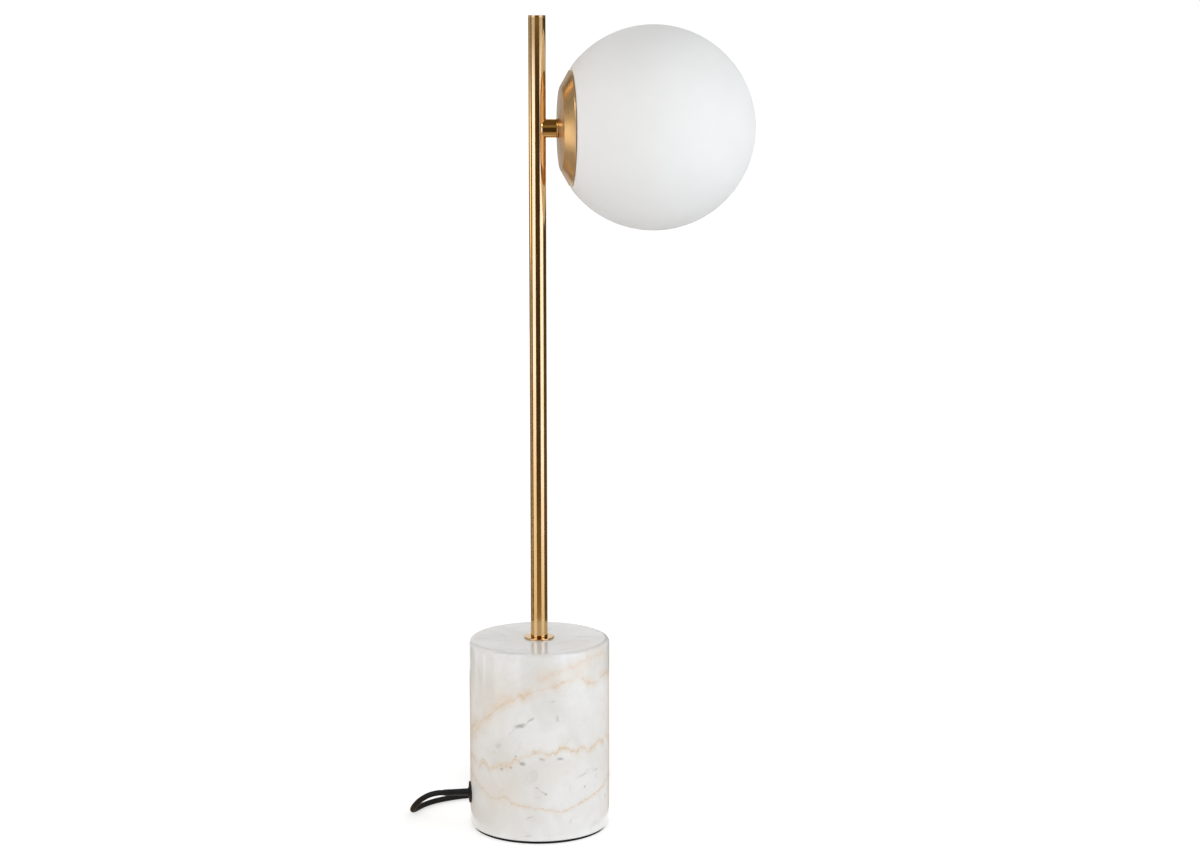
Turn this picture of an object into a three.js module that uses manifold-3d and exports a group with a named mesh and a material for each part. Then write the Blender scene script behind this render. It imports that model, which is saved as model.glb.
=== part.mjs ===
// Glass globe table lamp: a marble drum, a slim brass pole with a short side arm, a spun brass cup on the
// arm, and an opal glass globe that pushes onto spring clips inside the cup.
// Millimetres, +Z up. The origin is the middle of the foot pad's underside, on the pole's axis. +X runs
// along the arm to the globe, and the cord leaves the marble on the -X side.
import * as THREE from 'three';
import { mergeVertices } from 'three/addons/utils/BufferGeometryUtils.js';
import Module from 'manifold-3d';

const wasm = await Module();
wasm.setup();

// Clearances that many pieces share
const seatGap = 0.3;
const hairline = 0.1;
const threadGap = 0.3;
const overrun = 1;
const weldDistance = 0.0005;

// Marble drum and foot pad
const baseRadius = 50;
const baseHeight = 135.5;
const baseTopRound = 3.2;
const baseFootRound = 1.4;
const cavityRadius = 28;
const cavityHeight = 40;
const drillClearance = 1;
const padInset = 2.1;
const padThickness = 2;
const padEdgeRound = 0.5;

// Pole, its foot collar and its top cap
const lampHeight = 576.5;
const poleRadius = 6;
const poleEndChamfer = 0.35;
const collarRadius = 10.5;
const collarThickness = 1;
const collarChamfer = 0.3;
const capThickness = 1.2;
const capSpigot = 6;

// Threaded nipples, nuts and washers
const nippleRadius = 4;
const nippleBore = 2.6;
const nippleInPole = 14;
const nippleTail = 1.5;
const washerRadius = 19;
const washerThickness = 2;
const lockWasherRadius = 7;
const lockWasherThickness = 1.6;
const lockWasherGap = 1.6;
const nutHalfFlats = 6.5;
const nutThickness = 5;

// Terminal block in the drum's cavity
const blockLength = 15;
const blockWidth = 17;
const blockHeight = 11;
const blockOffset = 13;
const blockEdge = 1;
const blockScrewRadius = 1.9;
const blockScrewDepth = 3;
const blockScrewSpacing = 8;
const blockScrewSetback = 3.75;
const blockSlotWidth = 0.6;
const blockSlotDepth = 0.5;

// Side arm
const armDrop = 77.3;
const stemStart = 1.7;
const stemReach = 12.96;
const stemRadius = 6.6;
const stemEndRound = 1.8;
const stemRingRadius = 7;
const stemRingThickness = 1.2;
const stemRingChamfer = 0.4;
const sideHoleRadius = 3.4;
const nippleFromPole = 1;
const armNutThickness = 4;

// Globe and its neck
const globeRadius = 71.2;
const glassWall = 3;
const shoulderRound = 1.2;
const neckStandOff = 2.4;
const neckClearance = 1.7;
const neckRound = 0.8;
const gasketThickness = 2;
const gasketWidth = 2.6;

// Spun cup
const cupRimRadius = 41.8;
const cupCornerRadius = 29;
const cupBevelDepth = 7.3;
const cupBackRise = 1.7;
const cupFlatRadius = 7;
const cupWall = 1;
const cupRimRound = 0.35;

// Clip plate, spring clips and their rivets
const plateThickness = 1;
const plateInset = 2.5;
const spacerRadius = 8;
const clipCount = 3;
const clipWidth = 8;
const clipThickness = 0.6;
const clipFoot = 7;
const clipLead = 1.6;
const rivetRadius = 1.1;
const rivetHeadRadius = 2;
const rivetHeadHeight = 0.9;
const rivetClearance = 0.15;

// Lampholder and its bracket
const bracketReach = 14;
const bracketWidth = 8;
const bracketThickness = 0.8;
const bracketFoot = 5;
const bracketClearance = 1;
const holderRadius = 10.5;
const holderNoseRadius = 9.2;
const holderLength = 16;
const holderSkirtLength = 9;
const holderChamfer = 0.8;
const slotLength = 4.8;
const slotWidth = 2.4;
const slotDepth = 11.5;

// Capsule bulb
const pinSpacing = 9;
const pinLength = 10;
const pinLoopWidth = 4;
const pinThickness = 1.2;
const pinWire = 1.1;
const bulbFootLength = 9;
const bulbFootWidth = 14;
const bulbFootHeight = 8;
const bulbFootEdge = 0.8;
const bulbRadius = 8;
const bulbLength = 36;
const bulbShoulder = 3;

// Cord gland in the drum's wall
const glandHeight = 25;
const glandFlangeRadius = 7.8;
const glandFlangeThickness = 1.2;
const glandShankRadius = 4.9;
const glandBarbRadius = 5.9;
const glandBarbLength = 1.6;
const glandBarbSetback = 2.5;
const glandNoseLength = 18;
const glandNoseRoot = 2.5;
const glandNoseTip = 2.25;
const glandFlare = 1.1;
const glandFlareLength = 1.4;

// Mains cord and the two leads inside the lamp
const cordRadius = 2;
const cordLift = 0.1;
const leadRadius = 0.8;
const leadOffset = 1.05;

// Shares of the way across, aside and up that a lead has gone between its terminal and the nipple
const leadShares = [
  [0, 0, 0],
  [0, 0, 0.25],
  [0.4, 0.5, 0.5],
  [0.9, 1, 0.875],
];

// Shares of its drop that the cord's tail has made at even steps across the drum
const tailDropShares = [0, 0.02, 0.12, 0.3, 0.5, 0.7, 0.88, 0.98, 1];

// Wound coil of spare cord
const coilX = -5;
const coilY = 108;
const coilOuterRadius = 27.6;
const coilPitch = 4.6;
const coilTurnsPerLayer = 2.4375;
const coilLayers = 4;

// Inline switch
const switchX = 38;
const switchY = 118;
const switchLength = 50;
const switchWidth = 22;
const switchHalfHeight = 8.2;
const switchCorner = 7;
const switchBevel = 1.2;
const switchRelief = 5;
const switchReliefRoot = 3.6;
const switchReliefTip = 3;
const rockerLength = 17.6;
const rockerWidth = 9.6;
const rockerRise = 3.4;
const rockerDish = 1.1;
const rockerSkirt = 0.5;
const rockerBelly = 5.2;
const rockerTilt = THREE.MathUtils.degToRad(7);
const rockerPivotDrop = 2.2;
const rockerSideGap = 0.5;
const rockerEndGap = 0.9;
const rockerFloorGap = 0.6;
const trunnionRadius = 1.1;
const trunnionLength = 0.9;
const trunnionGap = 0.25;
const switchScrewRadius = 1.5;
const switchScrewHeadRadius = 2.6;
const switchScrewHeadHeight = 1.6;
const switchScrewDepth = 4;
const switchScrewInset = 10;

// Mains plug
const plugX = 2.3;
const plugY = 191;
const plugReliefLength = 12;
const plugReliefRoot = 4.4;
const plugReliefTip = 2.6;
const plugBodyLength = 35;
const plugFaceWidth = 35.3;
const plugRearWidth = 14;
const plugShoulder = 12;
const plugThickness = 13.7;
const plugEdge = 1.4;
const plugPinRadius = 2;
const plugPinLength = 19;
const plugPinSpacing = 18.6;
const plugPinSeat = 4;

// Facets round each kind of turned piece, and steps along its rounds
const drumSides = 64;
const globeSides = 48;
const poleSides = 32;
const smallSides = 16;
const cordSides = 8;
const windingSides = 6;
const windingSteps = 24;
const hexSides = 6;
const outerArcSteps = 18;
const innerArcSteps = 10;
const roundSteps = 4;
const smallRoundSteps = 2;

// Places along the pole
const baseBottom = padThickness + hairline;
const baseTop = baseBottom + baseHeight;
const collarBottom = baseTop + hairline;
const poleBottom = collarBottom + collarThickness + hairline;
const capBottom = lampHeight - capThickness;
const poleTop = capBottom - hairline;
const cavityTop = baseBottom + cavityHeight;
const armHeight = lampHeight - armDrop;
const threadHole = nippleRadius + threadGap;
const washerBottom = cavityTop - seatGap - washerThickness;
const lockWasherBottom = washerBottom - hairline - lockWasherThickness;
const baseNutBottom = lockWasherBottom - hairline - nutThickness;
const baseNippleBottom = baseNutBottom - nippleTail;
const blockBottom = padThickness + seatGap;
const blockTop = blockBottom + blockHeight;

// Places along the arm, from the stem's end outward. The globe's sphere meets the cup's rim.
const ringX = stemReach + hairline;
const cupBackX = ringX + stemRingThickness + hairline;
const cupCornerX = cupBackX + cupBackRise;
const cupRimX = cupCornerX + cupBevelDepth;
const globeX = cupRimX + Math.sqrt(globeRadius ** 2 - cupRimRadius ** 2);
const shoulderX = cupRimX + seatGap;
const neckEndX = cupCornerX + neckStandOff;
const neckOuterRadius = cupInnerRadius(neckEndX) - neckClearance;
const neckInnerRadius = neckOuterRadius - glassWall;
const plateRadius = neckInnerRadius - plateInset;
const plateX = cupInnerBack(plateRadius) + hairline;
const plateFront = plateX + plateThickness;
const armNutX = plateFront + hairline;
const armNippleX = poleRadius + nippleFromPole;
const armNippleEnd = armNutX + armNutThickness + nippleTail / 2;
const bracketTopX = armNippleEnd + bracketClearance;
const holderX = bracketTopX + bracketThickness + hairline;
const holderFaceX = holderX + holderLength;
const bulbFootX = holderFaceX + seatGap;
const bulbX = bulbFootX + bulbFootLength + hairline;

// The radius of the cup's inner wall on the bevel at a given place along the arm.
function cupInnerRadius(x) {
  const slope = (cupRimRadius - cupCornerRadius) / cupBevelDepth;
  return cupCornerRadius + (x - cupCornerX) * slope - cupWall * Math.hypot(1, slope);
}

// The place along the arm of the cup's inner back, a shallow cone outside its flat middle.
function cupInnerBack(radius) {
  const share = Math.max(0, radius - cupFlatRadius) / (cupCornerRadius - cupFlatRadius);
  return cupBackX + cupWall + cupBackRise * share;
}

// Points [a, b] on an arc about a centre, from one angle to another in radians.
function arc(centreA, centreB, radius, from, to, steps) {
  const points = [];
  for (let i = 0; i <= steps; i += 1) {
    const angle = from + (to - from) * (i / steps);
    points.push([centreA + radius * Math.cos(angle), centreB + radius * Math.sin(angle)]);
  }
  return points;
}

// Any closed geometry as position and index only, with its points welded, its flat triangles dropped and
// its faces turned outward.
function welded(geometry) {
  const bare = geometry.clone();
  bare.deleteAttribute('normal');
  bare.deleteAttribute('uv');
  const merged = mergeVertices(bare, weldDistance);
  const old = merged.index.array;
  const points = merged.attributes.position;
  const kept = [];
  const corners = [new THREE.Vector3(), new THREE.Vector3(), new THREE.Vector3()];
  let volume = 0;
  for (let i = 0; i < old.length; i += 3) {
    const [a, b, c] = [old[i], old[i + 1], old[i + 2]];
    if (a === b || b === c || c === a) continue;
    kept.push(a, b, c);
    corners.forEach((corner, k) => corner.fromBufferAttribute(points, [a, b, c][k]));
    volume += corners[0].dot(corners[1].clone().cross(corners[2]));
  }
  if (volume < 0) kept.reverse();
  const result = new THREE.BufferGeometry();
  result.setAttribute('position', points.clone());
  result.setIndex(kept);
  return result;
}

// A closed geometry as a solid that can be cut and joined.
function solid(geometry) {
  const closed = welded(geometry);
  const vertProperties = Float32Array.from(closed.attributes.position.array);
  const triVerts = Uint32Array.from(closed.index.array);
  return new wasm.Manifold(new wasm.Mesh({ numProp: 3, vertProperties, triVerts }));
}

// A solid back as a geometry.
function geometryOf(manifold) {
  const mesh = manifold.getMesh();
  const result = new THREE.BufferGeometry();
  result.setAttribute('position', new THREE.Float32BufferAttribute(mesh.vertProperties, 3));
  result.setIndex(Array.from(mesh.triVerts));
  return result;
}

// A body with other shapes cut away from it.
function cut(body, cutters) {
  return geometryOf(cutters.reduce((left, cutter) => left.subtract(solid(cutter)), solid(body)));
}

// Shapes joined into one body.
function joined(shapes) {
  const [first, ...rest] = shapes.map(solid);
  return geometryOf(rest.reduce((whole, shape) => whole.add(shape), first));
}

// [radius, height] pairs turned about the Z axis.
function turned(profile, sides) {
  const points = profile.map(([radius, height]) => new THREE.Vector2(Math.max(0, radius), height));
  return new THREE.LatheGeometry(points, sides).rotateX(Math.PI / 2);
}

// [radius, place] pairs turned about the arm's axis, with the places along +X.
function turnedOnArm(profile, sides) {
  const geometry = turned(profile, sides).rotateY(Math.PI / 2);
  return geometry.translate(0, 0, armHeight);
}

// A straight tube's profile between two heights, with chamfered outer edges.
function sleeve(outer, inner, low, high, chamfer) {
  return [
    [inner, low],
    [outer - chamfer, low],
    [outer, low + chamfer],
    [outer, high - chamfer],
    [outer - chamfer, high],
    [inner, high],
    [inner, low],
  ];
}

// A solid rod's profile between two heights, with chamfered edges.
function rod(radius, low, high, chamfer) {
  return [
    [0, low],
    [radius - chamfer, low],
    [radius, low + chamfer],
    [radius, high - chamfer],
    [radius - chamfer, high],
    [0, high],
  ];
}

// A closed outline of [a, b] pairs extruded by a depth along +Z.
function extruded(outline, depth) {
  const shape = new THREE.Shape(outline.map(([a, b]) => new THREE.Vector2(a, b)));
  return new THREE.ExtrudeGeometry(shape, { depth, bevelEnabled: false });
}

// A rectangle's outline with chamfered corners, centred on the origin.
function chamferedRectangle(width, height, edge) {
  const [a, b] = [width / 2, height / 2];
  return [
    [-a + edge, -b],
    [a - edge, -b],
    [a, -b + edge],
    [a, b - edge],
    [a - edge, b],
    [-a + edge, b],
    [-a, b - edge],
    [-a, -b + edge],
  ];
}

// A six-sided nut about the Z axis between two heights.
function hexNut(halfFlats, bore, low, high) {
  const corner = halfFlats / Math.cos(Math.PI / hexSides);
  const body = turned(rod(corner, low, high, 0), hexSides);
  return cut(body, [turned(rod(bore, low - overrun, high + overrun, 0), smallSides)]);
}

// A smooth path through chosen points that spends its steps evenly between them.
class Route extends THREE.CatmullRomCurve3 {
  constructor(points) {
    super(points.map(([x, y, z]) => new THREE.Vector3(x, y, z)));
  }

  getUtoTmapping(u) {
    return u;
  }
}

// A round section swept along a path.
function swept(path, radius, sides, steps) {
  const outline = arc(0, 0, radius, 0, 2 * Math.PI * (1 - 1 / sides), sides - 1);
  const shape = new THREE.Shape(outline.map(([a, b]) => new THREE.Vector2(a, b)));
  return new THREE.ExtrudeGeometry(shape, { steps, extrudePath: path, bevelEnabled: false });
}

// Marble drum: a turned block with a centre bore, a wiring cavity below and a cross hole for the gland.
function marbleBase() {
  const topRound = arc(
    baseRadius - baseTopRound,
    baseTop - baseTopRound,
    baseTopRound,
    0,
    Math.PI / 2,
    roundSteps,
  );
  const footRound = arc(
    baseRadius - baseFootRound,
    baseBottom + baseFootRound,
    baseFootRound,
    -Math.PI / 2,
    0,
    smallRoundSteps,
  );
  const bore = nippleRadius + drillClearance;
  const profile = [
    [cavityRadius, baseBottom],
    ...footRound,
    ...topRound,
    [bore, baseTop],
    [bore, cavityTop],
    [cavityRadius, cavityTop],
    [cavityRadius, baseBottom],
  ];
  const crossHole = new THREE.CylinderGeometry(
    glandShankRadius + seatGap,
    glandShankRadius + seatGap,
    baseRadius,
    smallSides,
  );
  crossHole.rotateZ(Math.PI / 2);
  crossHole.translate(-baseRadius / 2 - cavityRadius / 2, 0, glandHeight);
  return cut(turned(profile, drumSides), [crossHole]);
}

// Foot pad: a soft disc under the drum, set in from its edge.
function footPad() {
  return turned(rod(baseRadius - padInset, 0, padThickness, padEdgeRound), drumSides);
}

// Foot collar: a thin disc on the marble that the pole stands on.
function footCollar() {
  const top = collarBottom + collarThickness;
  return turned(
    [
      [threadHole, collarBottom],
      [collarRadius, collarBottom],
      [collarRadius, top - collarChamfer],
      [collarRadius - collarChamfer, top],
      [threadHole, top],
      [threadHole, collarBottom],
    ],
    globeSides,
  );
}

// Pole: a thick tube, tapped at its foot, with a side hole where the arm meets it.
function pole() {
  const tube = turned(sleeve(poleRadius, threadHole, poleBottom, poleTop, poleEndChamfer), poleSides);
  const sideHole = new THREE.CylinderGeometry(sideHoleRadius, sideHoleRadius, poleRadius * 2, smallSides);
  sideHole.rotateZ(Math.PI / 2);
  sideHole.translate(poleRadius, 0, armHeight);
  return cut(tube, [sideHole]);
}

// Pole cap: a flat disc that closes the tube, with a spigot that pushes into it.
function poleCap() {
  const spigot = threadHole - seatGap;
  return turned(
    [
      [0, capBottom - capSpigot],
      [spigot, capBottom - capSpigot],
      [spigot, capBottom],
      [poleRadius, capBottom],
      [poleRadius, lampHeight - poleEndChamfer],
      [poleRadius - poleEndChamfer, lampHeight],
      [0, lampHeight],
    ],
    poleSides,
  );
}

// Base nipple: the hollow threaded rod from the cavity up into the pole.
function baseNipple() {
  const top = poleBottom + nippleInPole;
  return turned(sleeve(nippleRadius, nippleBore, baseNippleBottom, top, 0), smallSides);
}

// Wide steel washer against the cavity's ceiling.
function baseWasher() {
  const top = washerBottom + washerThickness;
  return turned(sleeve(washerRadius, threadHole, washerBottom, top, 0), poleSides);
}

// Split lock washer: a flat ring with one gap cut through it.
function lockWasher() {
  const top = lockWasherBottom + lockWasherThickness;
  const ring = turned(sleeve(lockWasherRadius, threadHole, lockWasherBottom, top, 0), smallSides);
  const gap = new THREE.BoxGeometry(lockWasherRadius, lockWasherGap, lockWasherThickness * 2);
  gap.translate(lockWasherRadius, 0, top - lockWasherThickness / 2);
  return cut(ring, [gap]);
}

// Nut on the base nipple.
function baseNut() {
  return hexNut(nutHalfFlats, threadHole, baseNutBottom, baseNutBottom + nutThickness);
}

// Terminal block: a moulded block on the pad with two screw wells in its top.
function terminalBlock() {
  const body = extruded(chamferedRectangle(blockLength, blockWidth, blockEdge), blockHeight);
  body.translate(blockOffset, 0, blockBottom);
  const wells = [-1, 1].map((side) => {
    const radius = blockScrewRadius + seatGap;
    const well = turned(rod(radius, blockTop - blockScrewDepth, blockTop + overrun, 0), smallSides);
    return well.translate(blockOffset + blockScrewSetback, (side * blockScrewSpacing) / 2, 0);
  });
  return cut(body, wells);
}

// One clamping screw in its well, with a slot across the head.
function blockScrew(side) {
  const low = blockTop - blockScrewDepth + seatGap;
  const high = blockTop - seatGap;
  const head = turned(rod(blockScrewRadius, low, high, 0), smallSides);
  const slot = new THREE.BoxGeometry(blockScrewRadius * 3, blockSlotWidth, blockSlotDepth * 2);
  slot.translate(0, 0, high);
  return cut(head, [slot]).translate(blockOffset + blockScrewSetback, (side * blockScrewSpacing) / 2, 0);
}

// Arm stem: a tube a little thicker than the pole, its end rounded over and cut to a saddle on the pole.
function armStem() {
  const endRound = arc(
    stemRadius - stemEndRound,
    stemStart + stemEndRound,
    stemEndRound,
    -Math.PI / 2,
    0,
    smallRoundSteps,
  );
  const profile = [
    [threadHole, stemStart],
    ...endRound,
    [stemRadius, stemReach],
    [threadHole, stemReach],
    [threadHole, stemStart],
  ];
  const tube = turnedOnArm(profile, poleSides);
  const low = armHeight - poleRadius * 2;
  const high = armHeight + poleRadius * 2;
  const saddle = turned(rod(poleRadius + hairline, low, high, 0), poleSides);
  return cut(tube, [saddle]);
}

// Stem ring: the narrow ring between the stem and the cup.
function stemRing() {
  const far = ringX + stemRingThickness;
  return turnedOnArm(sleeve(stemRingRadius, threadHole, ringX, far, stemRingChamfer), poleSides);
}

// Arm nipple: the hollow threaded rod that draws the cup against the stem.
function armNipple() {
  return turnedOnArm(sleeve(nippleRadius, nippleBore, armNippleX, armNippleEnd, 0), smallSides);
}

// Spun cup: a flat middle, a shallow back cone, a wide bevel and a thin rim that meets the glass.
function spunCup() {
  const slope = (cupRimRadius - cupCornerRadius) / cupBevelDepth;
  const rimWall = cupWall * Math.hypot(1, slope);
  const innerCornerX = cupCornerX + cupWall;
  const innerCornerRadius = cupInnerRadius(innerCornerX);
  const profile = [
    [threadHole, cupBackX],
    [cupFlatRadius, cupBackX],
    [cupCornerRadius, cupCornerX],
    [cupRimRadius - cupRimRound * slope, cupRimX - cupRimRound],
    [cupRimRadius - cupRimRound, cupRimX],
    [cupRimRadius - rimWall, cupRimX],
    [innerCornerRadius, innerCornerX],
    [cupFlatRadius, cupBackX + cupWall],
    [threadHole, cupBackX + cupWall],
    [threadHole, cupBackX],
  ];
  return turnedOnArm(profile, globeSides);
}

// Spacer between the cup's back and the clip plate.
function cupSpacer() {
  const near = cupInnerBack(spacerRadius) + hairline;
  return turnedOnArm(sleeve(spacerRadius, threadHole, near, plateX - hairline, 0), smallSides);
}

// The radius at which a clip's rivet and a bracket's screw pass through the plate.
const rivetReach = plateRadius - clipFoot / 2;

// Turns a piece about the arm's axis.
function aboutArm(geometry, angle) {
  return geometry.translate(0, 0, -armHeight).rotateX(angle).translate(0, 0, armHeight);
}

// A round hole along the arm at a height above its axis.
function armHole(radius, reach, from, to) {
  return turnedOnArm(rod(radius, from, to, 0), smallSides).translate(0, 0, reach);
}

// The angle of one spring clip about the arm, counted from straight up.
function clipAngle(index) {
  return (2 * Math.PI * index) / clipCount + Math.PI / clipCount;
}

// Clip plate: a steel disc with holes for the nipple, the rivets and the bracket's screws.
function clipPlate() {
  const disc = turnedOnArm(sleeve(plateRadius, threadHole, plateX, plateFront, 0), poleSides);
  const holeRadius = rivetRadius + rivetClearance;
  const holes = [];
  for (let i = 0; i < clipCount; i += 1) {
    const hole = armHole(holeRadius, rivetReach, plateX - overrun, plateFront + overrun);
    holes.push(aboutArm(hole, clipAngle(i)));
  }
  for (const side of [-1, 1]) {
    const hole = armHole(holeRadius, bracketReach, plateX - overrun, plateFront + overrun);
    holes.push(aboutArm(hole, (side * Math.PI) / 2));
  }
  return cut(disc, holes);
}

// Spring clip: a bent strip with a flat foot, an upright, and a nose that presses the neck from inside.
const clipSeatX = plateFront + hairline;
const neckDepth = shoulderX + glassWall - neckEndX;
function springClip(index) {
  const noseReach = Math.sqrt((neckInnerRadius - seatGap) ** 2 - (clipWidth / 2) ** 2);
  const footEnd = plateRadius - clipFoot;
  const t = clipThickness;
  const outline = [
    [footEnd, clipSeatX],
    [plateRadius, clipSeatX],
    [plateRadius + t / 2, clipSeatX + t],
    [noseReach, clipSeatX + neckDepth / 2],
    [noseReach, clipSeatX + neckDepth / 2 + t],
    [noseReach - clipLead, clipSeatX + neckDepth],
    [noseReach - clipLead - t, clipSeatX + neckDepth],
    [noseReach - t, clipSeatX + neckDepth / 2 + t / 2],
    [plateRadius - t / 2, clipSeatX + t],
    [footEnd, clipSeatX + t],
  ];
  const strip = extruded(outline.map(([radius, x]) => [x, radius]), clipWidth);
  strip.translate(0, 0, -clipWidth / 2).rotateX(Math.PI / 2).translate(0, 0, armHeight);
  const holeRadius = rivetRadius + rivetClearance;
  const hole = armHole(holeRadius, rivetReach, clipSeatX - overrun, clipSeatX + t + overrun);
  return aboutArm(cut(strip, [hole]), clipAngle(index));
}

// A headed pin along the arm through the plate, whose head sits on a strip of the given thickness.
function headedPin(reach, stripThickness) {
  const seat = clipSeatX + stripThickness + hairline;
  const profile = [
    [0, plateX],
    [rivetRadius, plateX],
    [rivetRadius, seat],
    [rivetHeadRadius, seat],
    [rivetHeadRadius, seat + rivetHeadHeight / 2],
    [rivetHeadRadius / 2, seat + rivetHeadHeight],
    [0, seat + rivetHeadHeight],
  ];
  return turnedOnArm(profile, smallSides).translate(0, 0, reach);
}

// Rivet through a clip's foot and the plate.
function clipRivet(index) {
  return aboutArm(headedPin(rivetReach, clipThickness), clipAngle(index));
}

// Nut that clamps the cup and the clip plate onto the arm nipple.
function armNut() {
  const nut = hexNut(nutHalfFlats, threadHole, armNutX, armNutX + armNutThickness);
  return nut.rotateY(Math.PI / 2).translate(0, 0, armHeight);
}

// Holder bracket: a bent strap over the nut with two feet on the plate and a hole for the leads.
function holderBracket() {
  const t = bracketThickness;
  const foot = bracketReach + bracketFoot / 2;
  const leg = bracketReach - bracketFoot / 2;
  const half = [
    [clipSeatX, foot],
    [clipSeatX + t, foot],
    [clipSeatX + t, leg],
    [bracketTopX + t, leg - t],
  ];
  const inner = [
    [bracketTopX, leg - 2 * t],
    [clipSeatX, leg - t],
  ];
  const outline = [
    ...half,
    ...half.map(([x, y]) => [x, -y]).reverse(),
    ...inner.map(([x, y]) => [x, -y]).reverse(),
    ...inner,
  ];
  const strap = extruded(outline, bracketWidth).translate(0, 0, armHeight - bracketWidth / 2);
  const holes = [armHole(nippleBore, 0, bracketTopX - overrun, bracketTopX + t + overrun)];
  const holeRadius = rivetRadius + rivetClearance;
  for (const side of [-1, 1]) {
    const hole = armHole(holeRadius, bracketReach, clipSeatX - overrun, clipSeatX + t + overrun);
    holes.push(aboutArm(hole, (side * Math.PI) / 2));
  }
  return cut(strap, holes);
}

// Screw through a bracket foot and the plate.
function bracketScrew(side) {
  return aboutArm(headedPin(bracketReach, bracketThickness), (side * Math.PI) / 2);
}

// Lampholder: a stepped ceramic body with two slots for the bulb's pins.
function lampholder() {
  const skirt = holderX + holderSkirtLength;
  const body = turnedOnArm(
    [
      [0, holderX],
      [holderRadius, holderX],
      [holderRadius, skirt - holderChamfer],
      [holderNoseRadius, skirt],
      [holderNoseRadius, holderFaceX - holderChamfer],
      [holderNoseRadius - holderChamfer, holderFaceX],
      [0, holderFaceX],
    ],
    poleSides,
  );
  const slots = [-1, 1].map((side) => {
    const slot = new THREE.BoxGeometry(slotDepth * 2, slotLength, slotWidth);
    return slot.translate(holderFaceX, (side * pinSpacing) / 2, armHeight);
  });
  return cut(body, slots);
}

// Bulb pin: a flat wire loop behind the bulb's foot, in the plane that holds both pins.
function bulbPin(side) {
  const [half, inner] = [pinLoopWidth / 2, pinLoopWidth / 2 - pinWire];
  const tip = bulbFootX - pinLength;
  const outline = [
    [bulbFootX, -half],
    [bulbFootX, -inner],
    ...arc(tip + half, 0, inner, -Math.PI / 2, -Math.PI * 1.5, roundSteps),
    [bulbFootX, inner],
    [bulbFootX, half],
    ...arc(tip + half, 0, half, Math.PI / 2, Math.PI * 1.5, roundSteps),
  ];
  const loop = extruded(outline, pinThickness).translate(-hairline, 0, -pinThickness / 2);
  return loop.translate(0, (side * pinSpacing) / 2, armHeight);
}

// Bulb foot: the flat plastic block that stands on the lampholder.
function bulbFoot() {
  const block = extruded(chamferedRectangle(bulbFootWidth, bulbFootHeight, bulbFootEdge), bulbFootLength);
  return block.rotateZ(Math.PI / 2).rotateY(Math.PI / 2).translate(bulbFootX, 0, armHeight);
}

// Bulb cover: an opal capsule with a short shoulder and a round end.
function bulbCover() {
  const end = bulbX + bulbLength;
  const dome = arc(0, end - bulbRadius, bulbRadius, 0, Math.PI / 2, roundSteps + 1);
  const profile = [
    [0, bulbX],
    [bulbRadius - bulbShoulder / 2, bulbX],
    [bulbRadius, bulbX + bulbShoulder],
    ...dome,
  ];
  return turnedOnArm(profile, smallSides);
}

// Glass globe: an opal shell with a flat shoulder and a short neck, open at the neck.
function glassGlobe() {
  const innerRadius = globeRadius - glassWall;
  const outerEdge = Math.sqrt(globeRadius ** 2 - (globeX - shoulderX) ** 2);
  const innerShoulderX = shoulderX + glassWall;
  const outerStart = Math.atan2(shoulderRound - (globeX - shoulderX), outerEdge);
  const innerStart = -Math.asin((globeX - innerShoulderX) / innerRadius);
  const outer = arc(0, globeX, globeRadius, outerStart, Math.PI / 2, outerArcSteps);
  const inner = arc(0, globeX, innerRadius, Math.PI / 2, innerStart, innerArcSteps);
  const rootRadius = neckOuterRadius + neckRound;
  const profile = [
    ...outer,
    ...inner,
    [neckInnerRadius + neckRound, innerShoulderX],
    [neckInnerRadius, innerShoulderX - neckRound],
    [neckInnerRadius, neckEndX + neckRound / 2],
    [neckInnerRadius + neckRound / 2, neckEndX],
    [neckOuterRadius - neckRound / 2, neckEndX],
    [neckOuterRadius, neckEndX + neckRound / 2],
    [neckOuterRadius, shoulderX - neckRound],
    [rootRadius, shoulderX],
    [outerEdge - shoulderRound, shoulderX],
    outer[0],
  ];
  return turnedOnArm(profile, globeSides);
}

// Neck gasket: a soft ring round the neck against the globe's shoulder.
function neckGasket() {
  const inner = neckOuterRadius + neckRound + hairline;
  const far = shoulderX - hairline;
  const profile = sleeve(inner + gasketWidth, inner, far - gasketThickness, far, 0);
  return turnedOnArm(profile, globeSides);
}

// Places along the gland, measured from the pole's axis towards -X.
const glandFlangeRoot = baseRadius + hairline;
const glandFlangeFace = glandFlangeRoot + glandFlangeThickness;
const glandTip = glandFlangeFace + glandNoseLength;
const glandBarbStart = cavityRadius - glandBarbSetback;
const glandEnd = glandBarbStart - glandBarbLength;

// [radius, distance from the pole's axis] pairs turned about the gland's axis, towards -X.
function turnedOnGland(profile, sides) {
  return turned(profile, sides).rotateY(-Math.PI / 2).translate(0, 0, glandHeight);
}

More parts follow.
